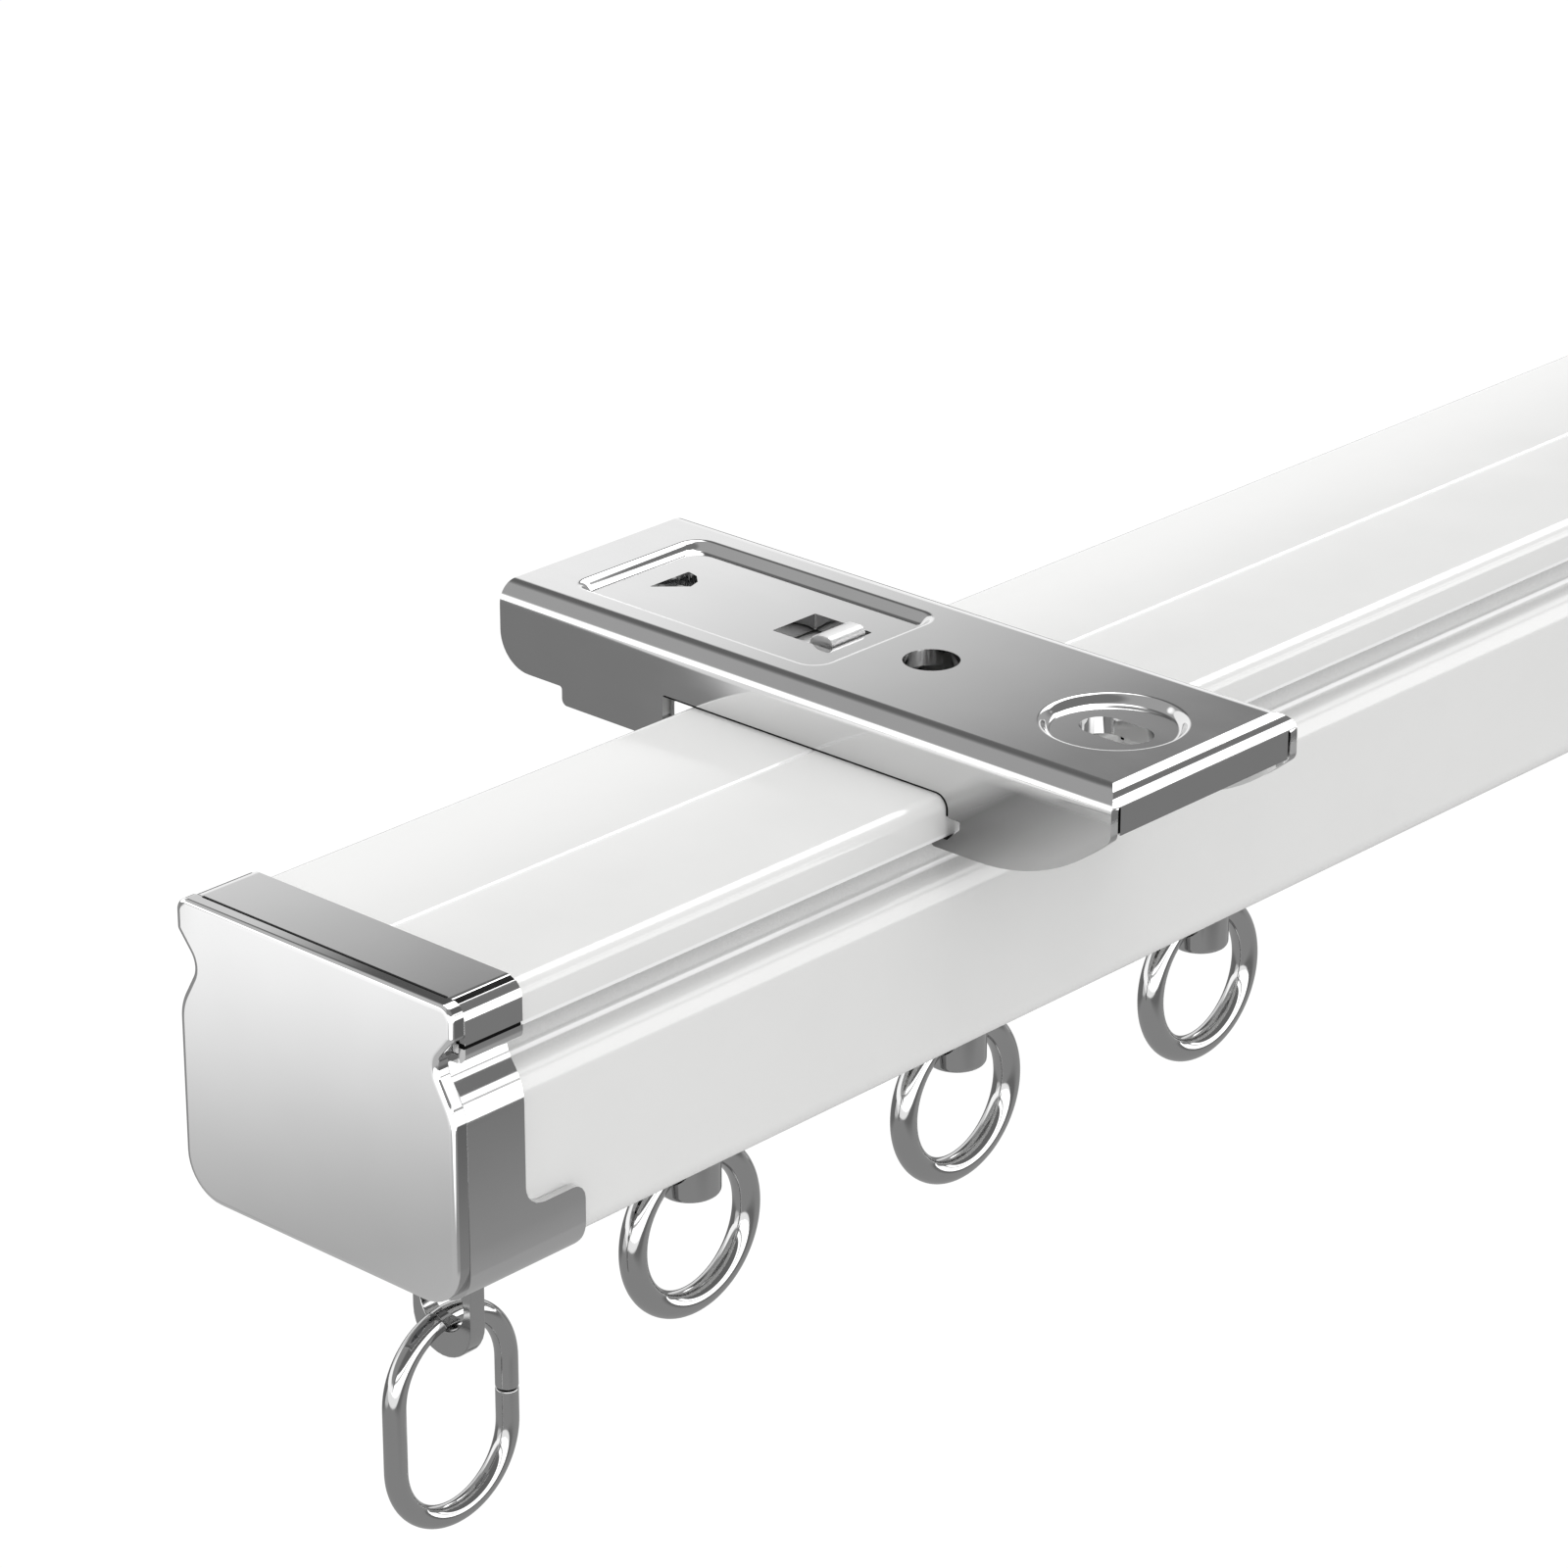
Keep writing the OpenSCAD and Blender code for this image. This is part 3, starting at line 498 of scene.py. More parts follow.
def coated_white(name, tone, rough, orange_peel, shade=0.0, top_highlight=0.0):
    """A white coat: bright body colour under a glossy skin with very fine orange peel.

    shade is how strongly painted shade darkens hollows between close walls. top_highlight is half the width
    of the painted highlight, a white line along the rail's top; the head's lower edges and the waists'
    creases then get painted highlights too."""
    material, tree = new_material(name)
    peel, dust = stretched_noise(tree, (1.2, 1.2, 1.2), 2.0), stretched_noise(tree, (6, 6, 6), 3.0)
    bump = add(tree, "Bump", None, {"Height": peel, "Strength": 0.3, "Distance": orange_peel * MM})
    layers = [(spread(tree, dust, 0.0, 1.0), tuple(tone))]
    # Painted highlight: a white line along the rail's top
    if top_highlight:
        away = off_middle(tree, "Y", RAIL_TOP[1])
        layers.append((spread(tree, away, 1.0, 0.0, metres([top_highlight, top_highlight + SOFT_EDGE])), WHITE))
    # Painted shade: hollows darken towards #6E6E6E where walls close round them
    if shade:
        hollow = add(tree, "AmbientOcclusion", {"samples": 8, "only_local": True}, {
            "Distance": HOLLOW_REACH * MM})
        layers.append((spread(tree, hollow.outputs["AO"], shade, 0.0, HOLLOW_OPEN), linear("#6E6E6E")))
    # Painted highlights: white lines along the head's lower edges and the waists' creases
    for height, half, middle, reach in PAINTED_HIGHLIGHTS if top_highlight else ():
        off = off_middle(tree, "Z", RAIL_TOP[2] + height)
        lip = spread(tree, off, 1.0, 0.0, metres([half, half + SOFT_EDGE]))
        beside = add(tree, "Math", {"operation": "COMPARE"}, {0: away, 1: middle * MM, 2: reach * MM})
        layers.append((gathered(tree, "MULTIPLY", lip, beside.outputs[0]), WHITE))
    surface = add(tree, "BsdfPrincipled", None, {
        "Base Color": layered(tree, (*(c * DUST for c in tone[:3]), 1), layers),
        "Roughness": spread(tree, dust, rough - 0.02, rough + 0.02), "IOR": 1.5,
        "Normal": bump.outputs["Normal"]})
    add(tree, "OutputMaterial", None, {"Surface": surface.outputs["BSDF"]})
    return material


FINISHES = {}


def finish(name):
    """The material of one finish, made at its first use."""
    if name not in FINISHES:
        plating = bpy.context.scene.track_plating
        wire = bpy.context.scene.track_wire
        rail = bpy.context.scene.track_rail
        makers = {
            # Glossy powder coat on rolled metal: nearly white, with crisp highlights on its edges, white
            # lines painted as highlights along its top and edges, and painted shade in its hollows
            "powder_coated_rail": lambda n: coated_white(n, rail.coat, 0.12, 0.002, 0.8, 0.16),
            # Bright nickel on deep-drawn sheet: a mirror with a trace of haze
            "nickel_plated_cap": lambda n: plated_metal(n, plating.tone, 0.07, (3, 3, 3), 0.0005, 0.015),
            # The same nickel on the flat face, painted brighter as a highlight, with painted shade on its
            # sides
            "cap_face_painted_bright": lambda n: plated_metal(
                n, linear("#F6F6F6"), 0.06, (4, 4, 4), 0.0003, 0.01, linear("#AEAEAE")),
            # Painted shade: a near-black put on the floors of narrow slits and seams, where no light comes
            # back
            "painted_shade_black": lambda n: plated_metal(n, linear("#101010"), 0.6, (1, 1, 1), 0.001),
            # Bright zinc on cold-rolled sheet: nearly a mirror, slightly cloudy; a rougher lobe on the
            # flanges has painted shade
            "zinc_plated_sheet": lambda n: plated_metal(
                n, plating.tone, 0.07, (3, 8, 3), 0.0005, 0.015, None, 0.25),
            # The catch's sheet, tumbled before plating: satin and pale
            "tumbled_zinc_catch": lambda n: plated_metal(n, linear("#C6C6C6"), 0.5, (0.6, 0.6, 0.6), 0.0005),
            # Nickel-plated drawn wire: almost a mirror
            "polished_nickel_wire": lambda n: plated_metal(n, wire.tone, 0.07, (1.5, 1.5, 1.5), 0.0005, 0.01),
            # Plated zinc casting: smooth but softer than the wire
            "plated_casting": lambda n: plated_metal(n, wire.tone, 0.12, (0.8, 0.8, 0.8), 0.003),
            # Zinc-plated screw steel: a soft grey shine
            "zinc_plated_screw": lambda n: plated_metal(n, linear("#A0A1A3"), 0.2, (0.4, 0.4, 0.4), 0.002),
            # Oiled spring wire: dark and glossy
            "drawn_spring_wire": lambda n: plated_metal(n, linear("#77787A"), 0.25, (0.3, 0.3, 0.3), 0.002),
            # White acetal: moulded, waxy and softly glossy
            "moulded_acetal": lambda n: coated_white(n, linear("#E9E9E6"), 0.42, 0.006),
        }
        FINISHES[name] = makers[name](name)
    return FINISHES[name]


# The rail

# Heights of the shoulder and the waist, how far the waist stands in from the sides, and their radii
SHOULDER, WAIST, WAIST_IN = -5.646, -3.958, 1.3
SHOULDER_R, WAIST_R, FOOT_R = 2.95, 3.25, 1.5
# The fine groove along the top, as corners, and half the slot in the floor with the radius of its edges
GROOVE = np.array([(0.18, 0, 0.03), (0.02, -0.06, 0.01), (-0.18, 0, 0.03)])
SLOT_HALF, SLOT_R = 2.5, 0.12
# The rail ends just behind each cap's face
RAIL_END = HALF_TRACK - 1.04


def rail_outline(sizes):
    """Corners of the rail's outer section and of its hollow, seen along X."""
    w, h = sizes.width / MM / 2, sizes.height / MM
    side = [(w, -h, FOOT_R), (w, SHOULDER, SHOULDER_R), (w - WAIST_IN, WAIST, WAIST_R)]
    outer = both_sides([
        *side, (w - WAIST_IN, HEAD_BOTTOM, 0.3), (w, HEAD_BOTTOM, 0.15), (w, 0, HEAD_ROUND)])
    return outer, both_sides([*side, (w - WAIST_IN, 0, 1.35)])


class TRACK_OT_rail(bpy.types.Operator):
    """Makes the white rail: its rounded section carried along X"""

    bl_idname = "track.rail"
    bl_label = "Rail"

    def execute(self, context):
        sizes = context.scene.track_rail
        wall, h = sizes.wall / MM, sizes.height / MM
        outer, hollow = rail_outline(sizes)
        section = np.vstack([
            [(SLOT_HALF, -h, SLOT_R)], outer[:6], GROOVE, outer[6:],
            [(-SLOT_HALF, -h, SLOT_R), (-SLOT_HALF, -h + wall, SLOT_R)], inset(hollow, wall)[::-1],
            [(SLOT_HALF, -h + wall, SLOT_R)]])
        outline = distinct(rounded(section, 12))
        x = np.array([-RAIL_END, RAIL_END])
        shape = Shape()
        shape.grid(on_rail(x[:, None], outline[None, :, 0], outline[None, :, 1]),
                   closed_columns=True, lids=True)
        shape.piece("rail_section", "track", "rail_white", "powder_coated_rail", ["rail"], 30)
        return {"FINISHED"}


# The end caps

CAP_OUTLINE = both_sides([
    (10.52, -17.12, 2.6), (10.52, -5.8, 3.0), (9.0, -3.15, 1.2),
    (10.5, -1.35, 0.4), (10.5, 0.52, 0.8)])
# The face. rows are the distances of the extra rows of points that keep its flats flat
CAP_FACE = dict(r=0.26, thick=1.0, chamfer=0.06, rows=(0.04, 0.03, 0.12))
CAP_SHELL = dict(gap=0.04, wall=0.5, start=0.96, bend_y=9.44, bend_z=-0.56, row=0.08, slit_from=13.4,
                 slit_to=33.2, slit_top=-1.84, slit_low=-2.04)
# How far the shell reaches, at its strips and at its feet, and the radii of the step between them
CAP_FOOT = dict(top=-12.8, low=-17.12, reach=5.1, far=9.5, hollow_r=1.3, foot_r=0.9, toe_r=1.0)
# Heights round that step where the shell has points
STEP_ROWS = np.array([1.3, 1.2, 1.0, 0.7, 0.4, 0.15, 0, -0.0001, -0.03, -0.1, -0.3, -0.6, -0.9])
# Painted shade in near-black: the dark line where the flap meets the face, and the floors of the slits, which
# reach past the slits by some degrees round the bends and by past_z beside the head, and end there in X
CAP_JOINT_SHADE = dict(x=(0.87, 1.01), half=9.3, low=0.3, proud=0.005)
CAP_SLIT_SHADE = dict(floor=(0.2, 0.5), past=3, y=(10.06, 10.5), past_z=0.05, end=5.0)


def cap_reach(z):
    """How far the cap's shell reaches along X at height z: far at the feet, and less above a rounded step."""
    top, low, reach, far, hollow_r, foot_r, toe_r = CAP_FOOT.values()

    def bow(r, off):
        return np.sqrt(np.clip(r ** 2 - off ** 2, 0, None))

    x = np.where(z < top + hollow_r, reach + hollow_r - bow(hollow_r, top + hollow_r - z), reach)
    x = np.where(z < top, far, x)
    x = np.where((z < top) & (z > top - foot_r), far - foot_r + bow(foot_r, z - top + foot_r), x)
    return np.where(z < low + toe_r, far - toe_r + bow(toe_r, low + toe_r - z), x)


def cap_face(shape):
    """The face: rings of its outline, moved in by r (1 - cos a) at X = r (1 - sin a), and a flat front."""
    r, thick, chamfer, (back_row, side_row, front_row) = CAP_FACE.values()
    a = angles(0, 90)
    back = [(chamfer, thick), (0.0, thick - chamfer), (0.0, thick - chamfer - back_row), (0.0, r + side_row)]
    front = [*zip(r * (1 - np.cos(a)), r * (1 - np.sin(a))), (r + front_row, 0.0)]
    rings = [on_rail(x - HALF_TRACK, *rounded(inset(CAP_OUTLINE, d), 10).T) for d, x in back + front]
    shape.grid(np.array(rings), closed_columns=True, lids=True)


def cut_at(arc, z, above):
    """An arc's points, with those above (or below) height z moved to where the arc crosses it."""
    order = np.argsort(arc[:, 1])
    crossing = np.interp(z, arc[order, 1], arc[order, 0])
    past = arc[:, 1] > z if above else arc[:, 1] < z
    return np.where(past[:, None], [crossing, z], arc)


def cap_strip(shape, inner, outer):
    """A strip of the cap, from inside the face to cap_reach at each height."""
    heights = np.concatenate([outer[:, 1], inner[::-1, 1]])
    strip(shape, inner, outer, CAP_SHELL["start"] - HALF_TRACK, cap_reach(heights) - HALF_TRACK)


def cap_bend(out, start, end):
    """Points round the shell's upper bend, from start to end degrees off the top, out from the rail."""
    c, a = CAP_SHELL, angles(start, end)
    r = out - c["bend_z"]
    return pairs(c["bend_y"] + r * np.sin(a), c["bend_z"] + r * np.cos(a))


def cap_shell(shape):
    """The strips behind the face, which follow the rail's section outside a small gap.

    A flap lies on the top and starts to bend, a wing folds on down each side of the head, and one strip runs
    from side to side below them."""
    corners, _ = rail_outline(bpy.context.scene.track_rail)
    c, steps = CAP_SHELL, 16
    flaps, heads, lowers = [], [], []
    for out in (c["gap"], c["gap"] + c["wall"]):
        arcs = rounded(inset(corners, -out), steps).reshape(len(corners), steps + 1, 2)
        foot, shoulder, waist, neck, lip = arcs[:5, ::-1]
        edge = np.vstack([[(c["bend_y"] - c["row"], out)], cap_bend(out, 0, c["slit_from"])])
        flaps.append(np.vstack([edge[::-1], edge * [-1, 1]]))
        heads.append(np.vstack([cap_bend(out, c["slit_to"], 90), [(RAIL_HALF + out, c["slit_top"])]]))
        side = pairs(RAIL_HALF + out, CAP_FOOT["top"] + STEP_ROWS)
        half = np.vstack([[(RAIL_HALF + out, c["slit_low"])], lip, neck,
                          cut_at(waist, HEAD_BOTTOM - out, True), shoulder, side, foot])
        lowers.append(np.vstack([half, (half * [-1, 1])[::-1]]))
    cap_strip(shape, *flaps)
    for turn in (1, -1):
        cap_strip(shape, *(head * [turn, 1] for head in heads))
    cap_strip(shape, *lowers)


def cap_slit_shade(shape):
    """Painted shade in near-black: the floor of each slit, and the dark line where the flap meets the face.
    """
    c, joint, slit = CAP_SHELL, CAP_JOINT_SHADE, CAP_SLIT_SHADE
    x0, x1 = (x - HALF_TRACK for x in joint["x"])
    top = c["gap"] + c["wall"] + joint["proud"]
    block(shape, (x0, -joint["half"], joint["low"]), (x1, joint["half"], top))
    for turn in (-1, 1):
        start, end = c["slit_from"] - slit["past"], c["slit_to"] + slit["past"]
        cap_strip(shape, *(cap_bend(out, start, end) * [turn, 1] for out in slit["floor"]))
        y0, y1 = (turn * y for y in slit["y"])
        block(shape, (c["start"] - HALF_TRACK, y0, c["slit_low"] - slit["past_z"]),
              (slit["end"] - HALF_TRACK, y1, c["slit_top"] + slit["past_z"]))


class TRACK_OT_end_caps(bpy.types.Operator):
    """Makes both plated end caps: a thick face with a rounded front edge, and the folded strips behind it,
    with painted shade in the slits
    """

    bl_idname = "track.end_caps"
    bl_label = "End caps"

    def execute(self, context):
        for side, sign in SIDES:
            for part, make, coat, bevel in (
                    ("face", cap_face, "cap_face_painted_bright", 0),
                    ("shell", cap_shell, "nickel_plated_cap", 0.05),
                    # The slits part is near-black painted shade
                    ("slits", cap_slit_shade, "painted_shade_black", 0)):
                shape = Shape()
                make(shape)
                shape.piece(f"end_cap_{side}_{part}", "track", "cap_plating", coat, [f"end_cap_{side}"],
                            35, bevel, sign > 0)
        return {"FINISHED"}


# The stop blocks with their lugs, and the clamp screws

class TRACK_OT_end_stops(bpy.types.Operator):
    """Makes the stop blocks and clamp screws from the solids, with rounded edges"""

    bl_idname = "track.end_stops"
    bl_label = "End stops"

    def execute(self, context):
        for side, _ in SIDES:
            rounded_copy(f"stop_block_{side}", "track", "plated_casting", 40, 0.25)
            rounded_copy(f"clamp_screw_{side}", "track", "zinc_plated_screw", 30, 0.06)
        return {"FINISHED"}


# Rings and links

def tube(shape, middle, line, radius, closed=True):
    """A round wire along a line (X, Z) round a middle: each ring is path + radius (cos b out + sin b Y)."""
    across = np.array([0, 1.0, 0])
    path = middle + np.insert(line, 1, 0, axis=1)
    back = np.roll(path, 1, 0) if closed else np.vstack([path[:1] * 2 - path[1:2], path[:-1]])
    ahead = np.roll(path, -1, 0) if closed else np.vstack([path[1:], path[-1:] * 2 - path[-2:-1]])
    out = np.cross(across, unit(ahead - back))
    b = circle(40)[None, :, None]
    r = np.broadcast_to(radius, (len(path),))[:, None, None]
    grid = path[:, None] + r * (np.cos(b) * out[:, None] + np.sin(b) * across)
    shape.grid(grid, closed_rows=closed, closed_columns=True, lids=not closed)


class TRACK_OT_rings(bpy.types.Operator):
    """Makes the six rings: a circle of wire carried round a circle"""

    bl_idname = "track.rings"
    bl_label = "Rings"

    def execute(self, context):
        wire = context.scene.track_wire.ring_wire / MM
        for i in RUNNERS:
            low, high = (np.array(corner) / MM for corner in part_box(f"runner_{i}_ring"))
            middle, r = (low + high) / 2, (high[0] - low[0] - wire) / 2
            shape = Shape()
            tube(shape, middle, around(circle(120), r), wire / 2)
            shape.piece(f"runner_{i}_ring_wire", f"ring_{i}", "ring_plating", "polished_nickel_wire",
                        [f"runner_{i}_ring"], 60)
        return {"FINISHED"}


class TRACK_OT_end_links(bpy.types.Operator):
    """Makes the oval links: wire carried round two half circles and two legs, up to the butt joint"""

    bl_idname = "track.end_links"
    bl_label = "End links"

    def execute(self, context):
        wire = context.scene.track_wire.link_wire / MM
        # Half the joint's gap, the rounding of the wire's ends, and the first row of points past it
        gap, edge, row = 0.04, 0.09, 0.05
        for side, sign in SIDES:
            low, high = (np.array(corner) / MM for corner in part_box(f"end_link_{side}"))
            middle = (low + high) / 2
            leg = (high[0] - low[0] - wire) / 2
            half = (high[2] - low[2] - wire) / 2 - leg
            ends = gap + edge * (1 - np.cos(angles(0, 90, 6)))
            first = np.concatenate([ends, np.linspace(gap + edge + row, half, 8)[:-1]])
            other = np.linspace(half, 0, 7)[1:]
            bow = around(angles(0, 180, 49), leg, y=half)
            upper = np.vstack([pairs(leg, first), bow, pairs(-leg, other)])
            line = np.vstack([upper, (upper * [1, -1])[::-1][1:]])
            shrink = edge * (1 - np.sqrt(1 - (1 - (ends - gap) / edge) ** 2))
            radius = np.full(len(line), wire / 2)
            radius[:len(ends)] -= shrink
            radius[-len(ends):] -= shrink[::-1]
            shape = Shape()
            tube(shape, middle, line * [-sign, 1], radius, closed=False)
            shape.piece(f"end_link_{side}_wire", f"link_{side}", "link_wire", "polished_nickel_wire",
                        [f"end_link_{side}"], 50)
        return {"FINISHED"}


# Brackets

BRACKET = dict(half_w=8.15, top=3.6, sheet=1.0, bend_r=1.3, hook=-21.9, spring=25.15, nose_r=1.0,
               coined=0.4, tab_seam=0.22, tab_low=0.9, tab_top=2.6)
# Half the flat width between the bends
FLAT = BRACKET["half_w"] - BRACKET["bend_r"]
SIDE_OUTLINE = [
    (-21.9, 3.6, 1), (-21.9, 0.8, 0.7), (-17.1, -3.2, 13), (-9.0, -3.2, 0.25),
    (-9.0, -2.55, 0.15), (-10.2, -2.55, 0.1), (-11.1, -1.65, 0.1), (-11.1, -1.2, 0.1),
    (-10.22, -1.2, 0.1), (-10.22, 0.15, 0.9), (11.8, 0.15, 0.2), (11.8, -2.75, 0.15),
    (20.05, -2.75, 0.4), (20.05, -1.6, 0.2), (25.15, -1.6, 2.3), (25.15, 3.6, 0)]
PANEL = dict(half=5.1, low=2.6, high=21.6, r=1.0, depth=0.5)
DISH = dict(y=-15.3, r=3.95, depth=0.5, rim=0.62)
# Holes through the bracket's top, in X and Y
SCREW_HOLE = dict(y=-1.75, r=1.675)
ADJUSTING_SLOT = dict(y=-15.5, half=1.05, r=1.3)
WINDOW = box_corners(-1.85, 4.45, 1.85, 8.95, 0.12)
ARROW = [(0.1, 17.35, 0.08), (0.95, 17.6, 0.08), (1.6, 18.3, 0.08), (1.8, 19.15, 0.08), (-1.6, 19.15, 0.05)]
# Rows of points across the sheet: their spacing, and their distances from the hooked end, the sprung end, the
# edge they start from and the bend
ROWS = dict(spacing=0.9, hook=1.6, spring=0.4, clear=0.3, bend=0.12)
# The spring's seat, and the right lip that carries the catch's plate, as two corners each
SEAT = (-2.6, 23.25, -0.55), (2.6, 24.05, 2.7)
LIP = (5.9, 11.85, -0.6), (7.25, 14.4, 0.2)
# Painted shade in near-black in the seam between a flange and the head: its distances out from the head,
# where it ends on the top and down the side, and how far it stays behind the flange's face
HEAD_SEAM_SHADE = dict(out=(0.01, 0.26), y=11.8, z=-1.15, behind=0.07)
# Blocks of near-black painted shade behind the seams beside the tab: how far they reach in past the sheet,
# and how far they stay back
TAB_SEAM_SHADE = dict(inwards=0.3, side=0.4, back=0.3)


def bracket_holes():
    """The outlines of the holes through the bracket's top, in X and Y."""
    screw = around(circle(64), **SCREW_HOLE)
    end = around(angles(0, 180, 25), ADJUSTING_SLOT["r"], y=ADJUSTING_SLOT["half"])
    slot = np.vstack([end, -end]) + [0, ADJUSTING_SLOT["y"]]
    return [screw, slot, *(distinct(rounded(corners, 3)) for corners in (WINDOW, ARROW))]


def ease(t):
    """Half a cosine wave from 0 to 1."""
    return 0.5 - 0.5 * np.cos(math.pi * np.clip(t, 0, 1))


def pressed(x, y, rim):
    """The pressed depth of the bracket's top: zero outside, and minus the depth inside each rim's slope."""
    p = PANEL
    qx = np.abs(x) - (p["half"] - p["r"])
    qy = np.abs(y - (p["low"] + p["high"]) / 2) - ((p["high"] - p["low"]) / 2 - p["r"])
    away = np.hypot(np.maximum(qx, 0), np.maximum(qy, 0)) + np.minimum(np.maximum(qx, qy), 0) - p["r"]
    panel = p["depth"] * ease(0.5 - away / rim)
    round_away = np.hypot(x, y - DISH["y"]) - DISH["r"]
    return -np.maximum(panel, DISH["depth"] * ease(0.5 - round_away / DISH["rim"]))


def folded(s, y, depth, inwards=0.0):
    """The bracket's skin: the sheet's own s runs flat, then round a bend of bend_r, then straight down."""
    top, r = BRACKET["top"], BRACKET["bend_r"]
    a = np.clip((np.abs(s) - FLAT) / r, 0, math.pi / 2)
    down = np.maximum(np.abs(s) - FLAT - r * math.pi / 2, 0)
    x = np.sign(s) * (np.minimum(np.abs(s), FLAT) + (r - inwards) * np.sin(a))
    return on_rail(x, y, top - r + (r - inwards) * np.cos(a) - down + depth)


def sheet_outline(lines, start):
    """The flat pattern's outline: both bends' lines with where they start, and the flanges below them."""
    b = BRACKET
    z_flange = b["top"] - b["bend_r"]
    # The side outline below the bend, from the hooked end to the sprung end
    side = distinct(rounded(SIDE_OUTLINE, 12), 0.01)
    side = side[side[:, 1] < z_flange - 1e-6]
    half = np.vstack([
        pairs(lines, start), pairs(lines[-1] + z_flange - side[:, 1], side[:, 0]),
        pairs(lines[::-1], b["spring"])])
    return distinct(np.vstack([half, half[::-1] * [-1, 1]]))


def bracket_sheet(shape, rim):
    """The folded sheet: one flat pattern of top, bends and flanges in triangles, folded on both faces."""
    b, p, r = BRACKET, PANEL, BRACKET["bend_r"]
    turn = angles(0, 90, 11)
    lines = FLAT + r * turn
    # The nose's quarter turn, met by each line of the bends at its own height
    nose = np.clip(b["nose_r"] - r + r * np.cos(turn), 0, 1)
    start = b["hook"] + b["nose_r"] - np.sqrt(1 - nose ** 2)
    y = np.arange(b["hook"] + ROWS["hook"], b["spring"] - ROWS["spring"], ROWS["spacing"])
    chains = []
    for sign in (-1, 1):
        for line, from_y in [*zip(lines, start), (FLAT - ROWS["bend"], b["hook"] + b["nose_r"])]:
            ends = [from_y, *y[y > from_y + ROWS["clear"]], b["spring"]]
            chains.append(pairs(sign * line, ends))
    # Rings of points down the slopes of the panel and the dish, and one just outside each end of them
    for d in np.concatenate([[-0.62], np.linspace(-0.5, 0.5, 13), [0.62]]):
        out = d * rim
        x = p["half"] + out
        corners = box_corners(-x, p["low"] - out, x, p["high"] + out, p["r"] + out)
        panel = distinct(rounded(corners, 8), 0.005)
        dish = around(circle(72), DISH["r"] + d * DISH["rim"], y=DISH["y"])
        chains += [np.vstack([ring, ring[:1]]) for ring in (panel, dish)]
    points, triangles = triangulated([sheet_outline(lines, start), *bracket_holes()], chains)
    s, along = points.T
    depth = np.where(np.abs(s) < FLAT, pressed(s, along, rim), 0)
    # The flanges' ends are pressed thinner beside the tab
    thick = b["sheet"] - b["coined"] * np.clip((b["hook"] + b["nose_r"] - along) / b["nose_r"], 0, 1)
    count = len(points)
    faces = [tuple(t) for t in triangles] + [tuple(t[::-1] + count) for t in triangles]
    faces += [(j, i, i + count, j + count) for i, j in border(triangles)]
    shape.put(np.vstack([folded(s, along, depth), folded(s, along, depth, thick)]), faces)


def bracket_nose(shape):
    """The hooked end: the top's edge bent down by a quarter turn, and the tab below, between the flanges."""
    b, r, a = BRACKET, BRACKET["bend_r"], angles(0, 90, 11)
    y = b["hook"] + b["nose_r"] * (1 - np.sin(a))
    z = b["top"] - b["nose_r"] * (1 - np.cos(a))
    half = FLAT + r * np.sin(np.arccos(np.clip((z - b["top"] + r) / r, -1, 1)))
    low, top, start = b["tab_low"], b["tab_top"], b["hook"] + b["nose_r"]
    behind = b["half_w"] - b["sheet"] - b["tab_seam"]
    ahead = behind + b["coined"]
    loop = [*zip(y, z, half), *((b["hook"], z_, ahead) for z_ in (top, top - 0.1, low)),
            (start, low, behind), (start, top, behind), (start, top, half[-1])]
    points = np.array([[(side * h, y_, z_) for y_, z_, h in loop] for side in (-1, 1)]) + RAIL_TOP
    shape.grid(points, closed_columns=True, lids=True)


def bracket_seam_shade(shape):
    """Near-black painted shade on the floors of the seams beside the tab, and of those between each flange
    and the head.

    The latter run along the head's top, round its edge by a quarter turn and down its side."""
    b, seam, tab, a = BRACKET, HEAD_SEAM_SHADE, TAB_SEAM_SHADE, angles(90, 180)
    near, far = (
        np.vstack([[(seam["y"], out)], around(a, HEAD_ROUND + out, HEAD_ROUND - RAIL_HALF, -HEAD_ROUND),
                   [(-RAIL_HALF - out, seam["z"])]]) for out in seam["out"])
    for turn in (-1, 1):
        inner = b["half_w"] - b["sheet"]
        strip(shape, near, far, turn * inner, turn * (b["half_w"] - seam["behind"]))
        block(shape, (turn * (inner - tab["inwards"]), b["hook"] + tab["back"], b["tab_low"]),
              (turn * (b["half_w"] - tab["side"]), b["hook"] + b["nose_r"], b["tab_top"]))


class TRACK_OT_brackets(bpy.types.Operator):
    """Makes both bracket bodies of folded, pressed and pierced sheet, with painted shade in their seams"""

    bl_idname = "track.brackets"
    bl_label = "Bracket bodies"

    def execute(self, context):
        rim = context.scene.track_plating.rim / MM
        for side, sign in SIDES:
            sheet, seams = Shape(), Shape()
            bracket_sheet(sheet, rim)
            bracket_nose(sheet)
            block(sheet, *SEAT)
            for turn in (-1, 1):
                block(sheet, *(np.array(LIP) * [turn, 1, 1]))
            bracket_seam_shade(seams)
            # The seams part is near-black painted shade
            for part, made, coat in (("sheet", sheet, "zinc_plated_sheet"), ("seams", seams, "painted_shade_black")):
                made.points = [p + [sign * BRACKET_X, 0, 0] for p in made.points]
                made.piece(f"bracket_body_{side}_{part}", "track", "bracket_sheet", coat,
                           [f"bracket_body_{side}"], 34)
        return {"FINISHED"}


class TRACK_OT_catches(bpy.types.Operator):
    """Makes the catches with rounded edges, and their springs"""

    bl_idname = "track.catches"
    bl_label = "Catches and springs"

    def execute(self, context):
        for side, _ in SIDES:
            rounded_copy(f"bracket_catch_{side}", f"catch_{side}",
                         "tumbled_zinc_catch", 35, 0.18)
            spring = rounded_copy(f"catch_spring_{side}", "track", "drawn_spring_wire", 70, 0)
            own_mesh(spring)
        return {"FINISHED"}


# Runners

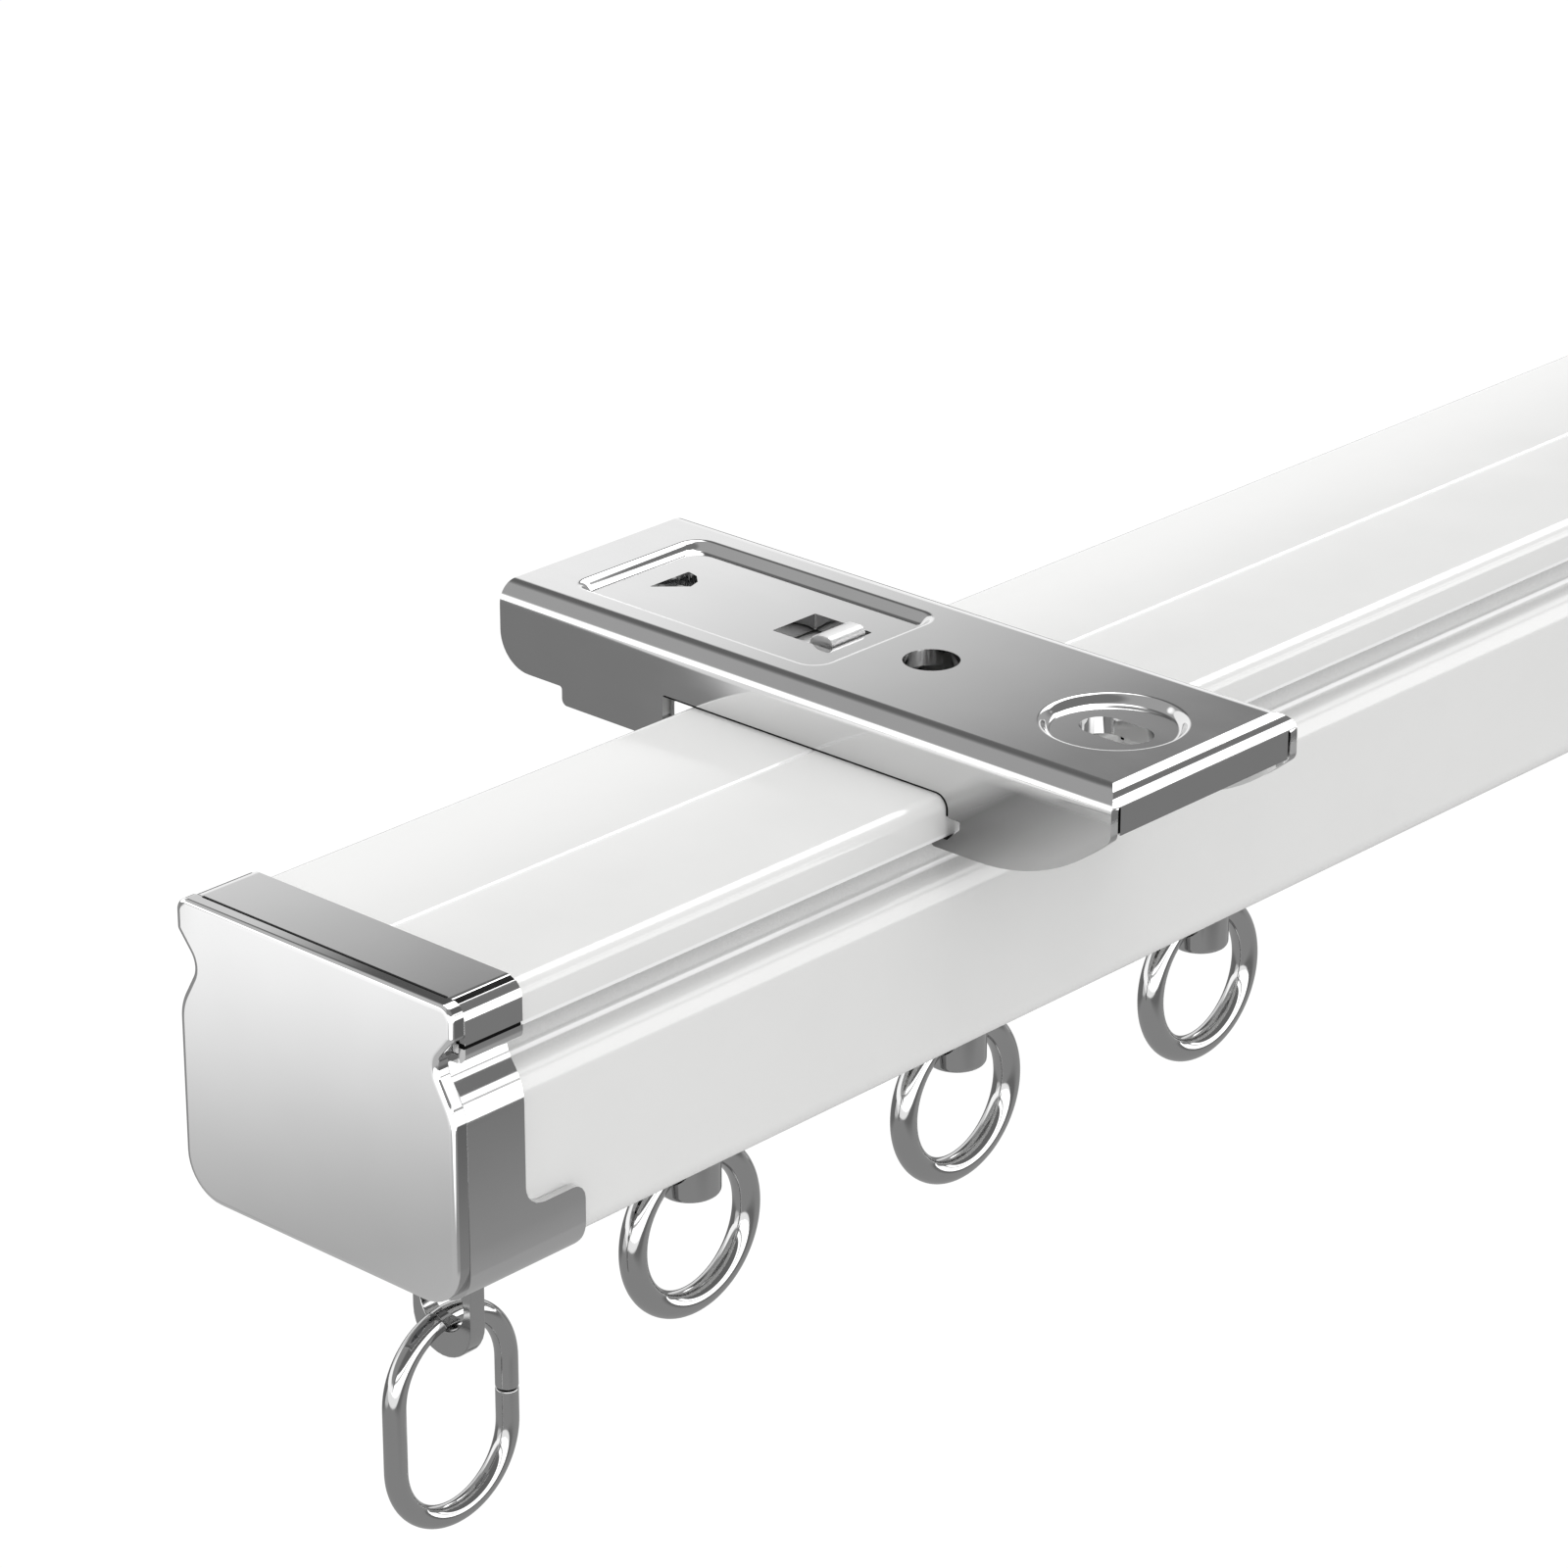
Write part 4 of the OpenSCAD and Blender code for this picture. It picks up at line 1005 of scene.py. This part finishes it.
class TRACK_OT_runners(bpy.types.Operator):
    """Makes the carriages, axles, wheels and stems of the six runners"""

    bl_idname = "track.runners"
    bl_label = "Runners"

    def execute(self, context):
        for i in RUNNERS:
            for part, body, slot, coat, bevel in (
                    ("carriage", "runner", "carriage_plastic", "moulded_acetal", 0.15),
                    ("axle", "wheelset", "axle_steel", "zinc_plated_screw", 0.08),
                    ("wheel_front", "wheelset", "wheel_plastic", "moulded_acetal", 0.08),
                    ("wheel_back", "wheelset", "wheel_plastic", "moulded_acetal", 0.08),
                    ("stem", "stem", "stem_plating", "polished_nickel_wire", 0.1)):
                rounded_copy(f"runner_{i}_{part}", f"{body}_{i}", coat, 30, bevel)
        return {"FINISHED"}


# The stage

CAMERA_AT = (-330.007, -198.274, 119.946)
CAMERA_LOOK = (0.6761, 0.6250, -0.3902)
# Where the lamp aims, in millimetres
LAMP_TARGET = (-95, 0, -10)
# Half the floor's width in metres, the glow the camera sees on it, and that glow's share beside the lit paper
FLOOR_HALF, FLOOR_GLOW, GLOW_SHARE = 4.0, 1.08, 0.86
# The studio that polished surfaces mirror. Each part is a product of smooth steps, with a direction, a range
# along it and the values before and after it. The brightest part counts
STUDIO = [
    # A grey ceiling with a darker spot
    [((0.51925, 0.61910, 0.58915), (0.88, 1.0), 0.50, 0.17), ((0, -1, 0), (0.0, 0.3), 1.0, 0.5)],
    # A pale wall behind the viewer's left
    [((-0.178, 0.652, -0.737), (-0.050, 0.047), 0.0, 1.2), ((-0.5, 0, 0.87), (0.57, 0.69), 1.0, 0.0),
     ((-1, 0, 0), (0.0, 0.4), 0.0, 1.7)],
    # A wall behind the track, which pales evenly towards the floor
    [((0.167, 0.688, -0.706), (0.2296, 0.3103), 0.0, 1.25, "LINEAR")],
    # A pale panel above the far end
    [((0, 1, 0), (0.40, 0.54), 1.0, 0.0), ((0, 1, 0), (-0.28, -0.18), 0.0, 1.0),
     ((0, 0, 1), (0.38, 0.52), 0.0, 1.0), ((1, 0, 0), (0.1, 0.35), 0.0, 5.0)],
]
# Two pale strips near the horizon on the viewer's right, and both sides of the thin dark joint between them
STRIPS = [((0, 0, 1), (0.30, 0.37), 3.2, 0.0), ((0, -1, 0), (0.2, 0.35), 0.0, 1.0)]
JOINT = [((0, 0, 1), (0.135, 0.155), 1.0, 0.25), ((0, 0, 1), (0.200, 0.220), 0.25, 1.0)]
# Painted light and shade of the floor that they mirror, by place in metres: a grey that is paler near the
# track, a glowing pale sheet in front of the cap, and two at the viewer's side
MIRRORED_FLOOR_SHADE = dict(low=0.47, high=0.27, source=(0.07, 0.122))
FLOOR_GLOW_PATCHES = [
    [((0.9, 1.0, 0), (-0.094, -0.084), 1.0, 0.0), ((0, 1.0, 0), (0.03, 0.06), 0.0, 1.0),
     ((-0.84, 0.545, 0), (0.230, 0.305), 0.40, 1.05)],
    [((0.707, 0.707, 0), (-0.25, -0.215), 1.7, 0.0)],
    [((0, 1.0, 0), (-0.225, -0.19), 3.2, 0.0)],
]


def placed(name, data, at, direction, axis):
    """A camera or a lamp at a place, with one of its axes along a direction."""
    obj = bpy.data.objects.new(name, data)
    obj.location = at
    obj.rotation_mode = "QUATERNION"
    obj.rotation_quaternion = Vector(direction).to_track_quat(axis, "Y")
    bpy.context.scene.collection.objects.link(obj)
    return obj


def softbox(name, direction, distance, size, radiance):
    """A square lamp of a set radiance: its power is radiance times pi times its area."""
    lamp = bpy.data.lights.new(name, "AREA")
    lamp.shape, lamp.size = "SQUARE", size
    lamp.energy = radiance * math.pi * size ** 2
    aim = Vector(direction).normalized()
    obj = placed(name, lamp, Vector(LAMP_TARGET) * MM + aim * distance, aim, "Z")
    obj.visible_camera = obj.visible_glossy = False


def brightest(tree, place, parts):
    """The brightest of several parts at a place, each the product of its steps."""
    products = (gathered(tree, "MULTIPLY", *(step(tree, place, *line) for line in part)) for part in parts)
    return gathered(tree, "MAXIMUM", *products)


def for_mirrors(tree, rays):
    """One for a ray that a polished or clear surface sends out, else zero."""
    return gathered(tree, "MAXIMUM", rays.outputs["Is Glossy Ray"], rays.outputs["Is Transmission Ray"])


class TRACK_OT_stage(bpy.types.Operator):
    """Makes the camera, the pale floor, the soft light and the white background"""

    bl_idname = "track.stage"
    bl_label = "Stage"

    def execute(self, context):
        sizes = context.scene.track_stage
        camera = bpy.data.cameras.new("camera")
        camera.lens, camera.sensor_width = 130.1, 36.0
        camera.clip_start, camera.clip_end = 0.01, 20
        context.scene.camera = placed("camera", camera, Vector(CAMERA_AT) * MM, CAMERA_LOOK, "-Z")
        self.floor(sizes)
        self.world(context.scene, sizes)
        softbox("softbox_top", direction=(0.1, -0.25, 0.96), distance=1.2, size=0.6, radiance=1.5)
        context.scene.view_settings.view_transform = "Standard"
        return {"FINISHED"}

    def floor(self, sizes):
        """The floor: pale paper to light, white to the camera, painted light and shade in mirrors, clear from
        below.
        """
        low, half = CAD_BOX[0][2] - sizes.drop, FLOOR_HALF
        mesh = bpy.data.meshes.new("floor")
        mesh.from_pydata([(-half, -half, low), (half, -half, low), (half, half, low), (-half, half, low)],
                         [], [(0, 1, 2, 3)])
        floor = bpy.data.objects.new("floor", mesh)
        bpy.context.scene.collection.objects.link(floor)
        material, tree = new_material("pale_paper_floor")
        rays = add(tree, "LightPath")
        paper = add(tree, "BsdfDiffuse", None, {"Color": tuple(sizes.paper)})
        glow = add(tree, "Emission", None, {"Color": WHITE, "Strength": FLOOR_GLOW})
        tone = add(tree, "Emission", None, {"Color": WHITE, "Strength": self.mirrored_floor(tree)})
        seen = gathered(tree, "MULTIPLY", rays.outputs["Is Camera Ray"], GLOW_SHARE)
        surface = paper.outputs[0]
        for share, over in (
                (seen, glow), (for_mirrors(tree, rays), tone),
                (add(tree, "NewGeometry").outputs["Backfacing"], add(tree, "BsdfTransparent"))):
            surface = add(tree, "MixShader", None, {0: share, 1: surface, 2: over.outputs[0]}).outputs[0]
        add(tree, "OutputMaterial", None, {"Surface": surface})
        mesh.materials.append(material)

    def mirrored_floor(self, tree):
        """The floor's painted light and shade in a polished surface: the brightest of its grey and its
        glowing sheets.
        """
        where = add(tree, "TexCoord").outputs["Object"]
        # Painted light and shade: in mirrors the floor glows paler near the track
        grey = spread(tree, off_middle(tree, "Y"), **MIRRORED_FLOOR_SHADE, blend="SMOOTHSTEP")
        return gathered(tree, "MAXIMUM", brightest(tree, where, FLOOR_GLOW_PATCHES), grey)

    def world(self, scene, sizes):
        """White to the camera, an even sky to matt surfaces, and the studio to polished ones."""
        world = bpy.data.worlds.new("studio")
        scene.world = world
        world.use_nodes = True
        tree = world.node_tree
        tree.nodes.clear()
        rays = add(tree, "LightPath")
        way = add(tree, "TexCoord").outputs["Generated"]
        strips = gathered(tree, "MULTIPLY", brightest(tree, way, [STRIPS]),
                          brightest(tree, way, [[side] for side in JOINT]))
        studio = gathered(tree, "MAXIMUM", brightest(tree, way, STUDIO), strips)
        lit = add(tree, "Mix", {"data_type": "FLOAT"}, {
            0: for_mirrors(tree, rays), 2: sizes.sky, 3: studio})
        strength = add(tree, "Mix", {"data_type": "FLOAT"}, {
            0: rays.outputs["Is Camera Ray"], 2: lit.outputs[0], 3: 1.0})
        back = add(tree, "Background", None, {"Color": WHITE, "Strength": strength.outputs[0]})
        add(tree, "OutputWorld", None, {"Surface": back.outputs[0]})


# The add-on

GROUPS = {
    "track_rail": RailSizes, "track_plating": PlatingSizes,
    "track_wire": WireSizes, "track_stage": StageSizes,
}
OPERATORS = (
    TRACK_OT_rail, TRACK_OT_end_caps, TRACK_OT_end_stops, TRACK_OT_end_links,
    TRACK_OT_brackets, TRACK_OT_catches, TRACK_OT_runners, TRACK_OT_rings, TRACK_OT_stage,
)


class TRACK_PT_panel(bpy.types.Panel):
    """Lists the steps that dress the track"""

    bl_idname = "TRACK_PT_panel"
    bl_label = "Curtain Track"
    bl_space_type = "VIEW_3D"
    bl_region_type = "UI"
    bl_category = "Curtain Track"

    def draw(self, context):
        for group in GROUPS:
            settings = getattr(context.scene, group)
            box = self.layout.box()
            for name in settings.__annotations__:
                box.prop(settings, name)
        for step_class in OPERATORS:
            self.layout.operator(step_class.bl_idname)


def register():
    """Registers the classes and puts the settings on the scene."""
    for group in (*GROUPS.values(), *OPERATORS, TRACK_PT_panel):
        bpy.utils.register_class(group)
    for name, group in GROUPS.items():
        setattr(bpy.types.Scene, name, PointerProperty(type=group))


def unregister():
    """Takes the settings and the classes away again."""
    for name in GROUPS:
        delattr(bpy.types.Scene, name)
    for group in (TRACK_PT_panel, *reversed(OPERATORS), *GROUPS.values()):
        bpy.utils.unregister_class(group)


def main():
    """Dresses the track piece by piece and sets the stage."""
    register()
    for operator in OPERATORS:
        group, name = operator.bl_idname.split(".")
        getattr(getattr(bpy.ops, group), name)()


if __name__ == "__main__":
    main()
